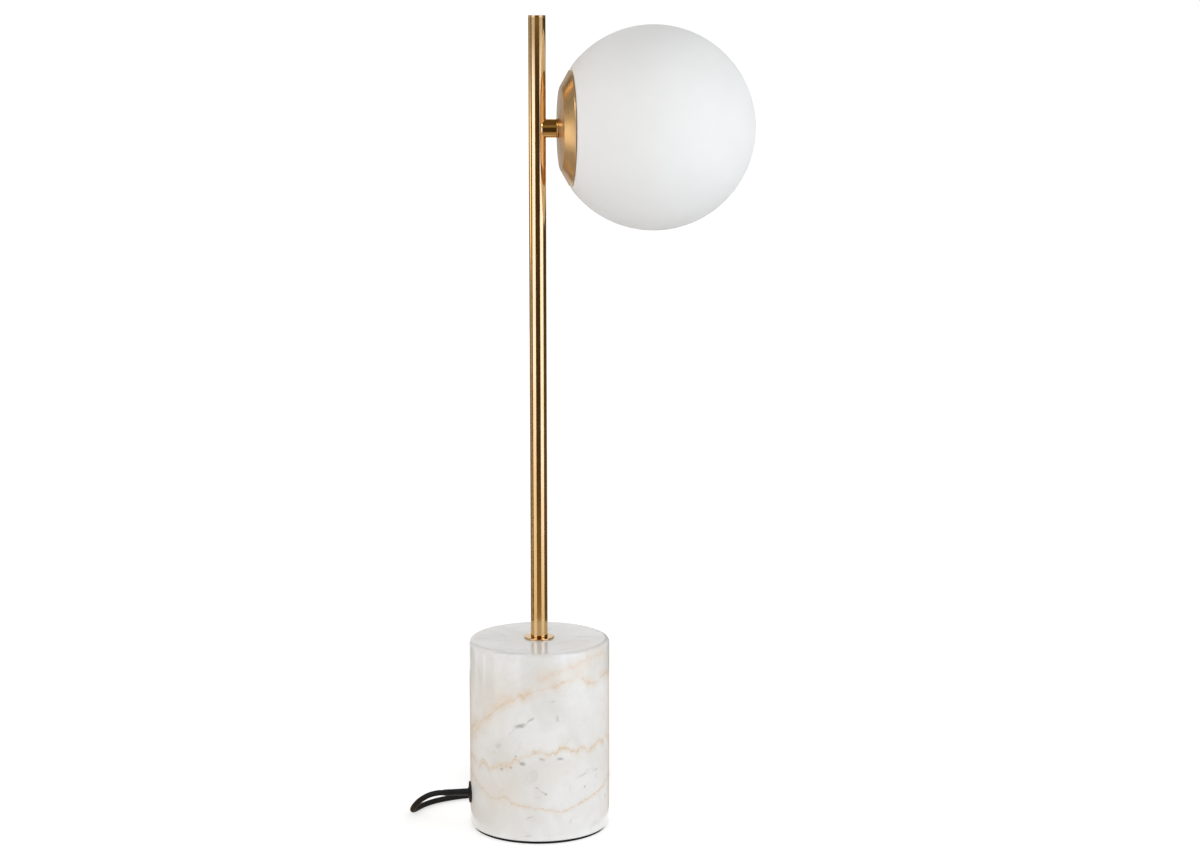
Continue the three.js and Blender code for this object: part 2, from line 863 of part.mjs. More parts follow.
// Cord gland: a moulded relief with a barb, a shank through the marble, a flange that follows the drum's
// round, and a tapered nose round the cord.
function cordGland() {
  const disc = turnedOnGland(
    rod(glandFlangeRadius, baseRadius / 2, glandFlangeFace + glandFlareLength, 0),
    poleSides,
  );
  const tall = glandFlangeRadius * 4;
  const low = glandHeight - tall / 2;
  const high = glandHeight + tall / 2;
  const shell = solid(turned(sleeve(glandFlangeFace, glandFlangeRoot, low, high, 0), drumSides));
  const flange = solid(disc).intersect(shell);
  const spine = turnedOnGland(
    [
      [0, glandEnd],
      [glandShankRadius, glandEnd],
      [glandBarbRadius, glandBarbStart],
      [glandShankRadius, glandBarbStart],
      [glandShankRadius, glandFlangeFace],
      [glandNoseRoot + glandFlare, glandFlangeFace],
      [glandNoseRoot, glandFlangeFace + glandFlareLength],
      [glandNoseTip, glandTip],
      [0, glandTip],
    ],
    smallSides,
  );
  return geometryOf(flange.add(solid(spine)));
}

// Cord routes as chosen points. The free cord leaves the gland straight, bends down and back to the
// surface, and passes behind the drum to the switch, the coil and the plug.
const floorZ = cordRadius + cordLift;
const cordStartX = -(glandTip + seatGap);
const switchNearY = switchY - switchLength / 2 - switchRelief - seatGap;
const switchFarY = switchY + switchLength / 2 + switchRelief + seatGap;
const switchZ = switchHalfHeight + hairline;
const leadRoute = [
  [cordStartX, 0, glandHeight],
  [-73.5, 0, 24.9],
  [-79, 1.2, 23.4],
  [-84.5, 4.6, 19.6],
  [-88.6, 10.2, 14.2],
  [-90.6, 17.4, 8.8],
  [-90.4, 26, 4.6],
  [-87.6, 35.2, 2.5],
  [-82.4, 44, floorZ],
  [-75, 51.6, floorZ],
  [-65.4, 57.6, floorZ],
  [-54, 62, floorZ],
  [-41, 64.8, floorZ],
  [-27, 66.2, floorZ],
  [-12, 66.6, floorZ],
  [3, 66.6, floorZ],
  [15, 67, 2.3],
  [24.6, 69.2, 3.2],
  [31.8, 73.2, 4.8],
  [36.4, 78.6, 6.8],
  [switchX, 83.4, 8],
  [switchX, switchNearY, switchZ],
];
const middleRoute = [
  [switchX, switchFarY, switchZ],
  [switchX, 152.6, 7.9],
  [36.6, 159.4, 6.6],
  [32.4, 166, 4.7],
  [25.6, 170.6, 3.1],
  [17, 172.6, 2.3],
  [7.4, 172, floorZ],
  [-2.6, 169, floorZ],
  [-12, 163.6, floorZ],
  [-20.2, 156, floorZ],
  [-26.6, 146.6, floorZ],
  [-30.8, 136, floorZ],
  [-32.6, 124, floorZ],
  [coilX - coilOuterRadius, 116, floorZ],
  [coilX - coilOuterRadius, coilY + 2 * cordRadius + seatGap, floorZ],
];
const coilTopZ = floorZ + (coilLayers - 1) * coilPitch;
const endRoute = [
  [coilX - 2 * cordRadius - seatGap, coilY + coilOuterRadius, coilTopZ],
  [-13, 135.7, 15.8],
  [-19.4, 137.8, 15.3],
  [-25, 142.2, 14.2],
  [-29, 148.6, 12.8],
  [-30.8, 156.4, 11.4],
  [-30.2, 164.8, 10],
  [-27.2, 173, 8.8],
  [-22, 180.2, 7.9],
  [-15, 186, 7.3],
  [-7, 189.8, 7.1],
  [-2, 191, 7.05],
  [plugX - seatGap, plugY, plugThickness / 2 + hairline],
];

// Free stretches of the cord, each a round tube along its route.
function cordStretch(route) {
  return swept(new Route(route), cordRadius, cordSides, route.length - 1);
}

// The coil's centreline: it winds in and out again at a steady rate, and climbs a layer in the half turn
// where it reverses. The first and last diameter of it run straight.
class CoilPath extends THREE.Curve {
  getUtoTmapping(u) {
    return u;
  }

  getPoint(t) {
    const turns = coilTurnsPerLayer * coilLayers;
    const leadShare = 1 / (turns * windingSteps + 2);
    const wound = (t - leadShare) / (1 - 2 * leadShare);
    const held = THREE.MathUtils.clamp(wound, 0, 1);
    const turn = held * turns;
    const layer = Math.min(coilLayers - 1, Math.floor(turn / coilTurnsPerLayer));
    const inLayer = turn - layer * coilTurnsPerLayer;
    const inward = layer % 2 === 0 ? inLayer : coilTurnsPerLayer - inLayer;
    const radius = coilOuterRadius - coilPitch * inward;
    let climbed = 0;
    for (let k = 1; k < coilLayers; k += 1) {
      const from = k * coilTurnsPerLayer - 1 / 4;
      climbed += THREE.MathUtils.smoothstep(turn, from, from + 1 / 2);
    }
    const angle = Math.PI + 2 * Math.PI * turn;
    const point = new THREE.Vector3(
      coilX + radius * Math.cos(angle),
      coilY + radius * Math.sin(angle),
      floorZ + coilPitch * climbed,
    );
    const past = (wound - held) / leadShare;
    const along = new THREE.Vector3(-Math.sin(angle), Math.cos(angle), 0);
    return point.addScaledVector(along, past * (1 - 2 * leadShare) * 2 * cordRadius);
  }
}

const coilSteps = Math.round(coilTurnsPerLayer * coilLayers * windingSteps) + 2;

// Coil of spare cord as one unbroken tube.
function cordCoil() {
  return swept(new CoilPath(), cordRadius, windingSides, coilSteps);
}

// The least distance between two turns of the coil, less one diameter, measured on its points.
function coilLeastGap() {
  const points = new CoilPath().getSpacedPoints(coilSteps * 2);
  const apart = windingSteps;
  let least = Infinity;
  for (let i = 0; i < points.length; i += 1) {
    for (let j = i + apart; j < points.length; j += 1) {
      least = Math.min(least, points[i].distanceTo(points[j]));
    }
  }
  return least - 2 * cordRadius;
}

// Cord tail inside the drum, from the gland's barb to the terminal block.
function cordTail() {
  const start = -(glandEnd - seatGap);
  const end = blockOffset - blockLength / 2 - seatGap;
  const drop = glandHeight - (blockBottom + blockHeight / 2);
  const span = end - start;
  const last = tailDropShares.length - 1;
  const points = tailDropShares.map((share, i) => [start + (span * i) / last, 0, glandHeight - drop * share]);
  return swept(new Route(points), cordRadius, cordSides, last * 2);
}

// One lead from the terminal block up the pole and along the arm to the lampholder.
function lampLead(side) {
  const y = side * leadOffset;
  const blockY = (side * blockScrewSpacing) / 2;
  const blockX = blockOffset - blockScrewSetback;
  const bend = poleRadius;
  const start = blockTop + seatGap;
  const rise = baseNippleBottom - start;
  const points = [
    ...leadShares.map(([across, aside, up]) => [
      blockX * (1 - across),
      blockY + (y - blockY) * aside,
      start + rise * up,
    ]),
    [0, y, baseNippleBottom + nippleRadius],
    [0, y, baseTop],
    [0, y, (baseTop + armHeight) / 2],
    [0, y, armHeight - bend * 2],
    [0, y, armHeight - bend],
    [bend * (1 - Math.SQRT1_2), y, armHeight - bend * (1 - Math.SQRT1_2)],
    [bend, y, armHeight],
    [bend * 2, y, armHeight],
    [holderX - seatGap, y, armHeight],
  ];
  return swept(new Route(points), leadRadius, windingSides, (points.length - 1) * 2);
}

// Plan outline of the switch's housing, along Y.
function switchOutline(inset) {
  const [a, b] = [switchWidth / 2 - inset, switchLength / 2 - inset];
  const r = switchCorner - inset;
  return [
    ...arc(a - r, b - r, r, 0, Math.PI / 2, roundSteps),
    ...arc(-a + r, b - r, r, Math.PI / 2, Math.PI, roundSteps),
    ...arc(-a + r, -b + r, r, Math.PI, Math.PI * 1.5, roundSteps),
    ...arc(a - r, -b + r, r, Math.PI * 1.5, Math.PI * 2, roundSteps),
  ];
}

// One half of the switch's housing with a bevelled outer edge, its flat parting face at height zero.
function switchHalf() {
  const shape = new THREE.Shape(switchOutline(switchBevel).map(([a, b]) => new THREE.Vector2(a, b)));
  const depth = switchHalfHeight - switchBevel;
  const bevel = { bevelThickness: switchBevel, bevelSize: switchBevel, bevelSegments: 2 };
  const slab = new THREE.ExtrudeGeometry(shape, { depth, bevelEnabled: true, ...bevel });
  const relief = turned(
    [
      [0, -switchLength / 2 - switchRelief],
      [switchReliefTip, -switchLength / 2 - switchRelief],
      [switchReliefRoot, -switchLength / 2 + switchBevel],
      [switchReliefRoot, switchLength / 2 - switchBevel],
      [switchReliefTip, switchLength / 2 + switchRelief],
      [0, switchLength / 2 + switchRelief],
    ],
    smallSides,
  ).rotateX(-Math.PI / 2);
  const below = new THREE.BoxGeometry(switchWidth * 2, switchLength * 2, switchHalfHeight * 2);
  below.translate(0, 0, -switchHalfHeight);
  return cut(joined([slab, relief]), [below]);
}

// Switch base: the lower half, with two wells for its screws.
function switchBase() {
  const half = switchHalf().rotateX(Math.PI);
  const wells = [-1, 1].map((side) => {
    const bottom = -switchHalfHeight;
    const neck = bottom + switchScrewHeadHeight + 2 * seatGap;
    const shank = turned(rod(switchScrewRadius + seatGap, bottom, neck + switchScrewDepth, 0), smallSides);
    const head = turned(rod(switchScrewHeadRadius + seatGap, bottom - overrun, neck, 0), smallSides);
    return joined([shank, head]).translate(0, (side * (switchLength - 2 * switchScrewInset)) / 2, 0);
  });
  return cut(half, wells).translate(switchX, switchY, switchZ - hairline / 2);
}

// One countersunk screw in the switch's base.
function switchScrew(side) {
  const low = -switchHalfHeight + seatGap;
  const neck = low + switchScrewHeadHeight;
  const profile = [
    [0, low],
    [switchScrewHeadRadius, low],
    [switchScrewHeadRadius, neck],
    [switchScrewRadius, neck],
    [switchScrewRadius, neck + switchScrewDepth],
    [0, neck + switchScrewDepth],
  ];
  const y = switchY + (side * (switchLength - 2 * switchScrewInset)) / 2;
  return turned(profile, smallSides).translate(switchX, y, switchZ - hairline / 2);
}

// Height of the rocker's pivot above the parting face.
const pivotHeight = switchHalfHeight - rockerPivotDrop;

// Switch cover: the upper half, with the rocker's well and two bearings for its trunnions.
function switchCover() {
  const well = new THREE.BoxGeometry(
    rockerWidth + 2 * rockerSideGap,
    rockerLength + 2 * rockerEndGap,
    2 * (rockerPivotDrop + rockerBelly + rockerFloorGap),
  );
  well.translate(0, 0, switchHalfHeight);
  const bearingLength = rockerWidth + 2 * (rockerSideGap + trunnionLength + trunnionGap);
  const bearing = new THREE.CylinderGeometry(
    trunnionRadius + trunnionGap,
    trunnionRadius + trunnionGap,
    bearingLength,
    smallSides,
  );
  bearing.rotateZ(Math.PI / 2).translate(0, 0, pivotHeight);
  return cut(switchHalf(), [well, bearing]).translate(switchX, switchY, switchZ + hairline / 2);
}

// Switch rocker: two shallow slopes over a round belly, with a trunnion each side. At rest its near end
// is down.
function switchRocker() {
  const half = rockerLength / 2;
  const crown = rockerRise + rockerDish / 2;
  const dip = rockerRise - rockerDish / 2;
  const outline = [
    ...arc(0, 0, rockerBelly, Math.PI, 2 * Math.PI, roundSteps * 2),
    [half, rockerSkirt],
    [half, crown],
    [0, dip],
    [-half, crown],
    [-half, rockerSkirt],
  ];
  const body = extruded(outline, rockerWidth).translate(0, 0, -rockerWidth / 2);
  body.rotateX(Math.PI / 2).rotateZ(Math.PI / 2);
  const axleLength = rockerWidth + 2 * (rockerSideGap + trunnionLength);
  const axle = new THREE.CylinderGeometry(trunnionRadius, trunnionRadius, axleLength, smallSides);
  axle.rotateZ(Math.PI / 2);
  const rocker = joined([body, axle]).rotateX(rockerTilt);
  return rocker.translate(switchX, switchY, switchZ + hairline / 2 + pivotHeight);
}

// Plug body: a flat tapered grip with bevelled edges, a cord relief, and two sockets for the pins.
function plugBody() {
  const [face, rear] = [plugFaceWidth / 2 - plugEdge, plugRearWidth / 2 - plugEdge];
  const outline = [
    [plugEdge, -rear],
    [plugBodyLength - plugShoulder, -face],
    [plugBodyLength - plugEdge, -face],
    [plugBodyLength - plugEdge, face],
    [plugBodyLength - plugShoulder, face],
    [plugEdge, rear],
  ];
  const shape = new THREE.Shape(outline.map(([a, b]) => new THREE.Vector2(a, b)));
  const bevel = { bevelThickness: plugEdge, bevelSize: plugEdge, bevelSegments: 2 };
  const depth = plugThickness - 2 * plugEdge;
  const grip = new THREE.ExtrudeGeometry(shape, { depth, bevelEnabled: true, ...bevel });
  grip.translate(plugReliefLength, 0, -depth / 2);
  const relief = turned(
    [
      [0, 0],
      [plugReliefTip, 0],
      [plugReliefRoot, plugReliefLength + plugEdge],
      [0, plugReliefLength + plugEdge],
    ],
    smallSides,
  ).rotateY(Math.PI / 2);
  const front = plugReliefLength + plugBodyLength;
  const sockets = [-1, 1].map((side) => {
    const profile = rod(plugPinRadius + seatGap, front - plugPinSeat - seatGap, front + overrun, 0);
    return turned(profile, smallSides).rotateY(Math.PI / 2).translate(0, (side * plugPinSpacing) / 2, 0);
  });
  return cut(joined([grip, relief]), sockets).translate(plugX, plugY, plugThickness / 2 + hairline);
}

// Plug pin: a round pin with a round tip, seated in its socket.
function plugPin(side) {
  const front = plugReliefLength + plugBodyLength;
  const end = front + plugPinLength;
  const tip = arc(0, end - plugPinRadius, plugPinRadius, 0, Math.PI / 2, roundSteps);
  const profile = [[0, front - plugPinSeat], [plugPinRadius, front - plugPinSeat], ...tip];
  const pin = turned(profile, smallSides).rotateY(Math.PI / 2);
  return pin.translate(plugX, plugY + (side * plugPinSpacing) / 2, plugThickness / 2 + hairline);
}

// Finishes
const finish = (color, roughness, metalness) => () =>
  new THREE.MeshStandardMaterial({ color, roughness, metalness });
const marble = finish(0xe9e5e1, 0.2, 0);
const polishedBrass = finish(0xc99a55, 0.22, 1);
const brushedBrass = finish(0xc29a62, 0.35, 1);
const steel = finish(0xa9abad, 0.4, 1);
const springSteel = finish(0x8f9296, 0.35, 1);
const opalGlass = finish(0xf4f5f6, 0.35, 0);
const opalPlastic = finish(0xf2f1ec, 0.45, 0);
const ceramic = finish(0xefede6, 0.5, 0);
const silicone = finish(0xdedcd6, 0.6, 0);
const blackRubber = finish(0x101010, 0.6, 0);
const blackPlastic = finish(0x141414, 0.35, 0);
const whitePlastic = finish(0xe6e4de, 0.5, 0);
const brownInsulation = finish(0x6b3b1f, 0.6, 0);
const blueInsulation = finish(0x2c5fa8, 0.6, 0);
const nickel = finish(0xcfcfcb, 0.25, 1);

const lamp = new THREE.Group();

// Adds one named piece to the lamp.
function add(name, geometry, material) {
  const mesh = new THREE.Mesh(welded(geometry), material());
  mesh.name = name;
  lamp.add(mesh);
}

add('marble_base', marbleBase(), marble);
add('foot_pad', footPad(), blackRubber);
add('foot_collar', footCollar(), polishedBrass);
add('pole', pole(), polishedBrass);
add('pole_cap', poleCap(), polishedBrass);
add('base_nipple', baseNipple(), steel);
add('base_washer', baseWasher(), steel);
add('base_lock_washer', lockWasher(), steel);
add('base_nut', baseNut(), steel);
add('terminal_block', terminalBlock(), whitePlastic);
add('arm_stem', armStem(), polishedBrass);
add('stem_ring', stemRing(), polishedBrass);
add('arm_nipple', armNipple(), steel);
add('spun_cup', spunCup(), brushedBrass);
add('cup_spacer', cupSpacer(), steel);
add('clip_plate', clipPlate(), steel);
add('arm_nut', armNut(), steel);
add('holder_bracket', holderBracket(), steel);
add('lampholder', lampholder(), ceramic);
add('bulb_foot', bulbFoot(), whitePlastic);
add('bulb_cover', bulbCover(), opalPlastic);
add('glass_globe', glassGlobe(), opalGlass);
add('neck_gasket', neckGasket(), silicone);
add('cord_gland', cordGland(), blackRubber);
add('cord_tail', cordTail(), blackRubber);
add('cord_lead', cordStretch(leadRoute), blackRubber);
add('cord_middle', cordStretch(middleRoute), blackRubber);
add('cord_coil', cordCoil(), blackRubber);
add('cord_end', cordStretch(endRoute), blackRubber);
add('switch_base', switchBase(), blackPlastic);
add('switch_cover', switchCover(), blackPlastic);
add('switch_rocker', switchRocker(), blackPlastic);
add('plug_body', plugBody(), blackPlastic);
for (let i = 0; i < clipCount; i += 1) {
  add(`spring_clip_${i + 1}`, springClip(i), springSteel);
  add(`clip_rivet_${i + 1}`, clipRivet(i), steel);
}
[-1, 1].forEach((side, i) => {
  add(`terminal_screw_${i + 1}`, blockScrew(side), nickel);
  add(`bracket_screw_${i + 1}`, bracketScrew(side), steel);
  add(`bulb_pin_${i + 1}`, bulbPin(side), nickel);
  add(`switch_screw_${i + 1}`, switchScrew(side), steel);
  add(`plug_pin_${i + 1}`, plugPin(side), nickel);
});
add('live_lead', lampLead(1), brownInsulation);
add('neutral_lead', lampLead(-1), blueInsulation);

// Total length of the free cord, and the coil's least gap to itself.
const freeLength = [leadRoute, middleRoute, endRoute]
  .map((route) => new Route(route).getLength())
  .reduce((sum, length) => sum + length, 0);
console.log(`free cord ${freeLength.toFixed(0)} mm, coil ${new CoilPath().getLength().toFixed(0)} mm`);
console.log(`least gap between the coil's turns ${coilLeastGap().toFixed(2)} mm`);

export default lamp;
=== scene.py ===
import math

import bmesh
import bpy
import numpy as np
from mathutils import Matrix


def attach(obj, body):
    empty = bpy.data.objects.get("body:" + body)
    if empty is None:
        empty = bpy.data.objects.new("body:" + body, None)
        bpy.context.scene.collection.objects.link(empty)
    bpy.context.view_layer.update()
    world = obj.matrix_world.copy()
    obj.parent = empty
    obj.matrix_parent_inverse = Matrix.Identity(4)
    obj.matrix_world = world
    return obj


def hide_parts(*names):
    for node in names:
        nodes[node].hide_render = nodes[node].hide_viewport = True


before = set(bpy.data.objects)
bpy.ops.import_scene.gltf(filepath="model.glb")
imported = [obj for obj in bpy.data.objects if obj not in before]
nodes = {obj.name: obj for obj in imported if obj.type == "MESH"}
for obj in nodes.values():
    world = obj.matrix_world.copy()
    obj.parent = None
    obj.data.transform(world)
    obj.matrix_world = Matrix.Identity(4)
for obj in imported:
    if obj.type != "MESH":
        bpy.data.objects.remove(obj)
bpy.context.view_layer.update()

# Pieces that rest on one another stay this far apart, as their solids do.
hairline = 0.0001


# Camera
# The lamp stands on a pale table and is looked at from a little above its middle, almost square to the
# arm, through a long lens.
def in_scene(name, data):
    """A new object in the scene, made of a mesh or a camera's data."""
    made = bpy.data.objects.new(name, data)
    bpy.context.scene.collection.objects.link(made)
    return made


to_camera = (-0.1133, -0.9936)
to_picture_right = (0.9936, -0.1133)
looks_down = math.radians(9.52)
looks_aside = math.atan2(-to_picture_right[1], to_picture_right[0]) - 0.0001
lens_data = bpy.data.cameras.new("camera")
lens_data.lens = 78.0
lens_data.sensor_width = 36.0
camera = in_scene("camera", lens_data)
camera.location = (-0.1614, -1.8, 0.5919)
camera.rotation_euler = (math.pi / 2 - looks_down, 0, -looks_aside)
bpy.context.scene.camera = camera
bpy.context.scene.view_settings.view_transform = "Standard"


# Mains cord
# The cord is round black flex, 4 mm thick. It leaves the marble low on the side away from the arm, bends
# down to the table and runs behind the drum through an inline switch. The spare length is wound in a neat
# round coil there, and the cord ends in its plug.
cord_radius = 0.002
on_table = 0.0021
lead_points = [
    (-0.0675, 0, 0.025), (-0.0696, 0, 0.025), (-0.0735, 0, 0.0249), (-0.079, 0.0012, 0.0234),
    (-0.0845, 0.0046, 0.0196), (-0.0886, 0.0102, 0.0142), (-0.0906, 0.0174, 0.0088),
    (-0.0904, 0.026, 0.0046), (-0.0876, 0.0352, 0.0025), (-0.0824, 0.044, on_table),
    (-0.075, 0.0516, on_table), (-0.0654, 0.0576, on_table), (-0.054, 0.062, on_table),
    (-0.041, 0.0648, on_table), (-0.027, 0.0662, on_table), (-0.012, 0.0666, on_table),
    (0.003, 0.0666, on_table), (0.015, 0.067, 0.0023), (0.0246, 0.0692, 0.0032),
    (0.0318, 0.0732, 0.0048), (0.0364, 0.0786, 0.0068), (0.038, 0.0834, 0.008),
    (0.038, 0.0877, 0.0083), (0.038, 0.0895, 0.0083),
]
middle_points = [
    (0.038, 0.1465, 0.0083), (0.038, 0.1483, 0.0083), (0.038, 0.1526, 0.0079), (0.0366, 0.1594, 0.0066),
    (0.0324, 0.166, 0.0047), (0.0256, 0.1706, 0.0031), (0.017, 0.1726, 0.0023),
    (0.0074, 0.172, on_table), (-0.0026, 0.169, on_table), (-0.012, 0.1636, on_table),
    (-0.0202, 0.156, on_table), (-0.0266, 0.1466, on_table), (-0.0308, 0.136, on_table),
    (-0.0326, 0.124, on_table), (-0.0326, 0.116, on_table), (-0.0326, 0.1123, on_table),
]
end_points = [
    (-0.0093, 0.1356, 0.0159), (-0.013, 0.1357, 0.0158), (-0.0194, 0.1378, 0.0153),
    (-0.025, 0.1422, 0.0142), (-0.029, 0.1486, 0.0128), (-0.0308, 0.1564, 0.0114),
    (-0.0302, 0.1648, 0.01), (-0.0272, 0.173, 0.0088), (-0.022, 0.1802, 0.0079),
    (-0.015, 0.186, 0.0073), (-0.007, 0.1898, 0.0071), (-0.002, 0.191, 0.00705),
    (0.002, 0.191, 0.00695), (0.0045, 0.191, 0.00695),
]
coil_x, coil_y = -0.005, 0.108
coil_outer = 0.0276
coil_pitch = 0.0046
coil_turns = 2.4375
coil_layers = 4
cord_step = 0.0014
sharp_turn, flat_turn = math.radians(35), math.radians(1.5)
weld_distance = 1e-6


def smooth_route(points, steps=24):
    """Points on a smooth curve through the chosen ones. Each span is a cubic whose slopes at its two ends
    weigh the neighbouring spans by the square roots of their lengths, so that it never overshoots."""
    points = np.asarray(points, float)
    here, there = points[:-1], points[1:]
    before = np.vstack([2 * points[0] - points[1], points[:-2]])
    after = np.vstack([points[2:], 2 * points[-1] - points[-2]])
    gap = lambda a, b: np.sqrt(np.linalg.norm(b - a, axis=1, keepdims=True))
    first, middle, last = gap(before, here), gap(here, there), gap(there, after)
    leaving = (here - before) / first - (there - before) / (first + middle) + (there - here) / middle
    reaching = (there - here) / middle - (after - here) / (middle + last) + (after - there) / last
    leaving, reaching = leaving * middle, reaching * middle
    s = np.linspace(0, 1, steps, endpoint=False)[None, :, None]
    cubic = (
        here[:, None] * (2 * s**3 - 3 * s**2 + 1)
        + leaving[:, None] * (s**3 - 2 * s**2 + s)
        + there[:, None] * (3 * s**2 - 2 * s**3)
        + reaching[:, None] * (s**3 - s**2)
    )
    return np.vstack([cubic.reshape(-1, 3), points[-1]])


def reached(path):
    """The length of a route up to each of its points: the sum of the steps so far."""
    return np.concatenate([[0], np.cumsum(np.linalg.norm(np.diff(path, axis=0), axis=1))])


def even_steps(path, step):
    """The same route with its points an even step apart, found by measuring along it."""
    along = reached(path)
    stops = np.linspace(0, along[-1], max(2, round(along[-1] / step) + 1))
    return np.stack([np.interp(stops, along, path[:, i]) for i in range(3)], axis=1)


def coil_route(count=1600):
    """The coil's centreline. It winds in and out again at a steady rate, one pitch each turn, and climbs
    one pitch in the half turn where it reverses, by a curve that starts and stops softly."""
    turn = np.linspace(0, coil_turns * coil_layers, count)
    layer = np.minimum(coil_layers - 1, np.floor(turn / coil_turns))
    within = turn - layer * coil_turns
    radius = coil_outer - coil_pitch * np.where(layer % 2 == 0, within, coil_turns - within)
    climbed = np.zeros_like(turn)
    for reverse in range(1, coil_layers):
        share = np.clip((turn - reverse * coil_turns + 0.25) * 2, 0, 1)
        climbed += share * share * (3 - 2 * share)
    angle = np.pi + 2 * np.pi * turn
    x, y = coil_x + radius * np.cos(angle), coil_y + radius * np.sin(angle)
    return np.stack([x, y, on_table + coil_pitch * climbed], axis=1)


def unit(vectors):
    """Each vector over its length."""
    return vectors / np.maximum(np.linalg.norm(vectors, axis=1, keepdims=True), 1e-12)


def full_turn(sides):
    """The angles of a ring's points, as one row."""
    return np.linspace(0, 2 * np.pi, sides, endpoint=False)[None, :]


def shown(name, mesh):
    """An object from a mesh, shaded smooth up to the sharp turns."""
    mesh.shade_smooth()
    mesh.set_sharp_from_angle(angle=sharp_turn)
    return in_scene(name, mesh)


def skin(name, grid, closed=False):
    """A closed surface over a grid of points, one quad between each four neighbours. Every row is a ring
    that closes on itself, and the last row meets the first where closed is true. Rows that shrink to one
    point become a pole. The map around_along holds the share of a turn and the metres along a row."""
    rows, columns, _ = grid.shape
    row, column = np.meshgrid(np.arange(rows if closed else rows - 1), np.arange(columns), indexing="ij")
    next_row, next_column = (row + 1) % rows, (column + 1) % columns
    corners = ((row, column), (row, next_column), (next_row, next_column), (next_row, column))
    faces = np.stack([r * columns + c for r, c in corners], axis=-1).reshape(-1, 4)
    along = reached(np.vstack([grid[:, 0], grid[:1, 0]]))
    around = np.stack([column, column + 1, column + 1, column], axis=-1) / columns
    lengthwise = np.stack([along[row], along[row], along[row + 1], along[row + 1]], axis=-1)
    mesh = bpy.data.meshes.new(name)
    mesh.vertices.add(rows * columns)
    mesh.vertices.foreach_set("co", grid.astype(np.float32).ravel())
    mesh.loops.add(faces.size)
    mesh.loops.foreach_set("vertex_index", faces.ravel())
    mesh.polygons.add(len(faces))
    mesh.polygons.foreach_set("loop_start", np.arange(len(faces)) * 4)
    mesh.update(calc_edges=True)
    chart = mesh.uv_layers.new(name="around_along")
    chart.data.foreach_set("uv", np.stack([around, lengthwise], axis=-1).astype(np.float32).ravel())
    work = bmesh.new()
    work.from_mesh(mesh)
    bmesh.ops.remove_doubles(work, verts=work.verts, dist=weld_distance)
    bmesh.ops.dissolve_degenerate(work, edges=work.edges, dist=weld_distance / 10)
    loose = [edge for edge in work.edges if not edge.link_faces]
    bmesh.ops.delete(work, geom=loose, context="EDGES")
    bmesh.ops.recalc_face_normals(work, faces=work.faces)
    work.to_mesh(mesh)
    work.free()
    return shown(name, mesh)


def tube_along(name, path, radius, sides=16, level=(0, 0, 1)):
    """A round tube along a path: the path's point plus the radius times the cosine of the turn, along the
    direction square to the path and to level, and times the sine, along the direction square to both."""
    ahead = unit(np.gradient(path, axis=0))
    across = unit(np.cross(ahead, level))
    above = np.cross(across, ahead)
    turn = full_turn(sides)[..., None]
    rings = path[:, None] + radius * (np.cos(turn) * across[:, None] + np.sin(turn) * above[:, None])
    ends = np.broadcast_to(path[:, None], rings.shape)
    return skin(name, np.concatenate([ends[:1], rings, ends[-1:]]))


def place(tree, kind, inputs=None, **settings):
    """The outputs of a new shader node, with its settings, and with its inputs by name or number: a plain
    value is set on the socket, and another node's output is linked to it."""
    node = tree.nodes.new("ShaderNode" + kind)
    for setting, value in settings.items():
        setattr(node, setting, value)
    for key, value in (inputs or {}).items():
        if isinstance(value, bpy.types.NodeSocket):
            tree.links.new(value, node.inputs[key])
        else:
            node.inputs[key].default_value = value
    return node.outputs


def finish(name, **values):
    """A new material with one Principled shader. Underscores in the names stand for spaces in the
    shader's sockets. Returns the material, its tree, the shader and the object's own coordinates."""
    material = bpy.data.materials.new(name)
    material.use_nodes = True
    tree = material.node_tree
    shader = tree.nodes["Principled BSDF"]
    for socket, value in values.items():
        shader.inputs[socket.replace("_", " ")].default_value = value
    return material, tree, shader, place(tree, "TexCoord")["Object"]


def noise(tree, where, scale, detail, roughness=0.5, distortion=0.0):
    """The outputs of a noise texture: first its value, then its colour."""
    inputs = {"Vector": where, "Scale": scale, "Detail": detail, "Roughness": roughness}
    return place(tree, "TexNoise", {**inputs, "Distortion": distortion})


def ranged(tree, value, low=0.0, high=1.0, start=0.0, stop=1.0, **settings):
    """A value's way from a low to a high limit, as a number that goes from a start to a stop."""
    return place(tree, "MapRange", {0: value, 1: low, 2: high, 3: start, 4: stop}, **settings)[0]


def reckoned(tree, operation, a, b=0.0):
    """One step of arithmetic on one or two values."""
    return place(tree, "Math", {0: a, 1: b}, operation=operation)[0]


def blended(tree, share, below, above):
    """A colour between two others by a share."""
    ends = [c if isinstance(c, bpy.types.NodeSocket) else (*c, 1) for c in (below, above)]
    return place(tree, "Mix", {0: share, 6: ends[0], 7: ends[1]}, data_type="RGBA")[2]


def new_group(name, numbers, results):
    """An empty shader node group that takes a position and named numbers, and gives named numbers.
    Returns it with the sockets at its start and at its end."""
    group = bpy.data.node_groups.new(name, "ShaderNodeTree")
    group.interface.new_socket("Position", in_out="INPUT", socket_type="NodeSocketVector")
    for socket, value in numbers.items():
        made = group.interface.new_socket(socket, in_out="INPUT", socket_type="NodeSocketFloat")
        made.default_value = value
    for socket in results:
        group.interface.new_socket(socket, in_out="OUTPUT", socket_type="NodeSocketFloat")
    return group, group.nodes.new("NodeGroupInput").outputs, group.nodes.new("NodeGroupOutput").inputs


def grouped(tree, group, where, **numbers):
    """The outputs of a node group at a position."""
    return place(tree, "Group", {"Position": where, **numbers}, node_tree=group)


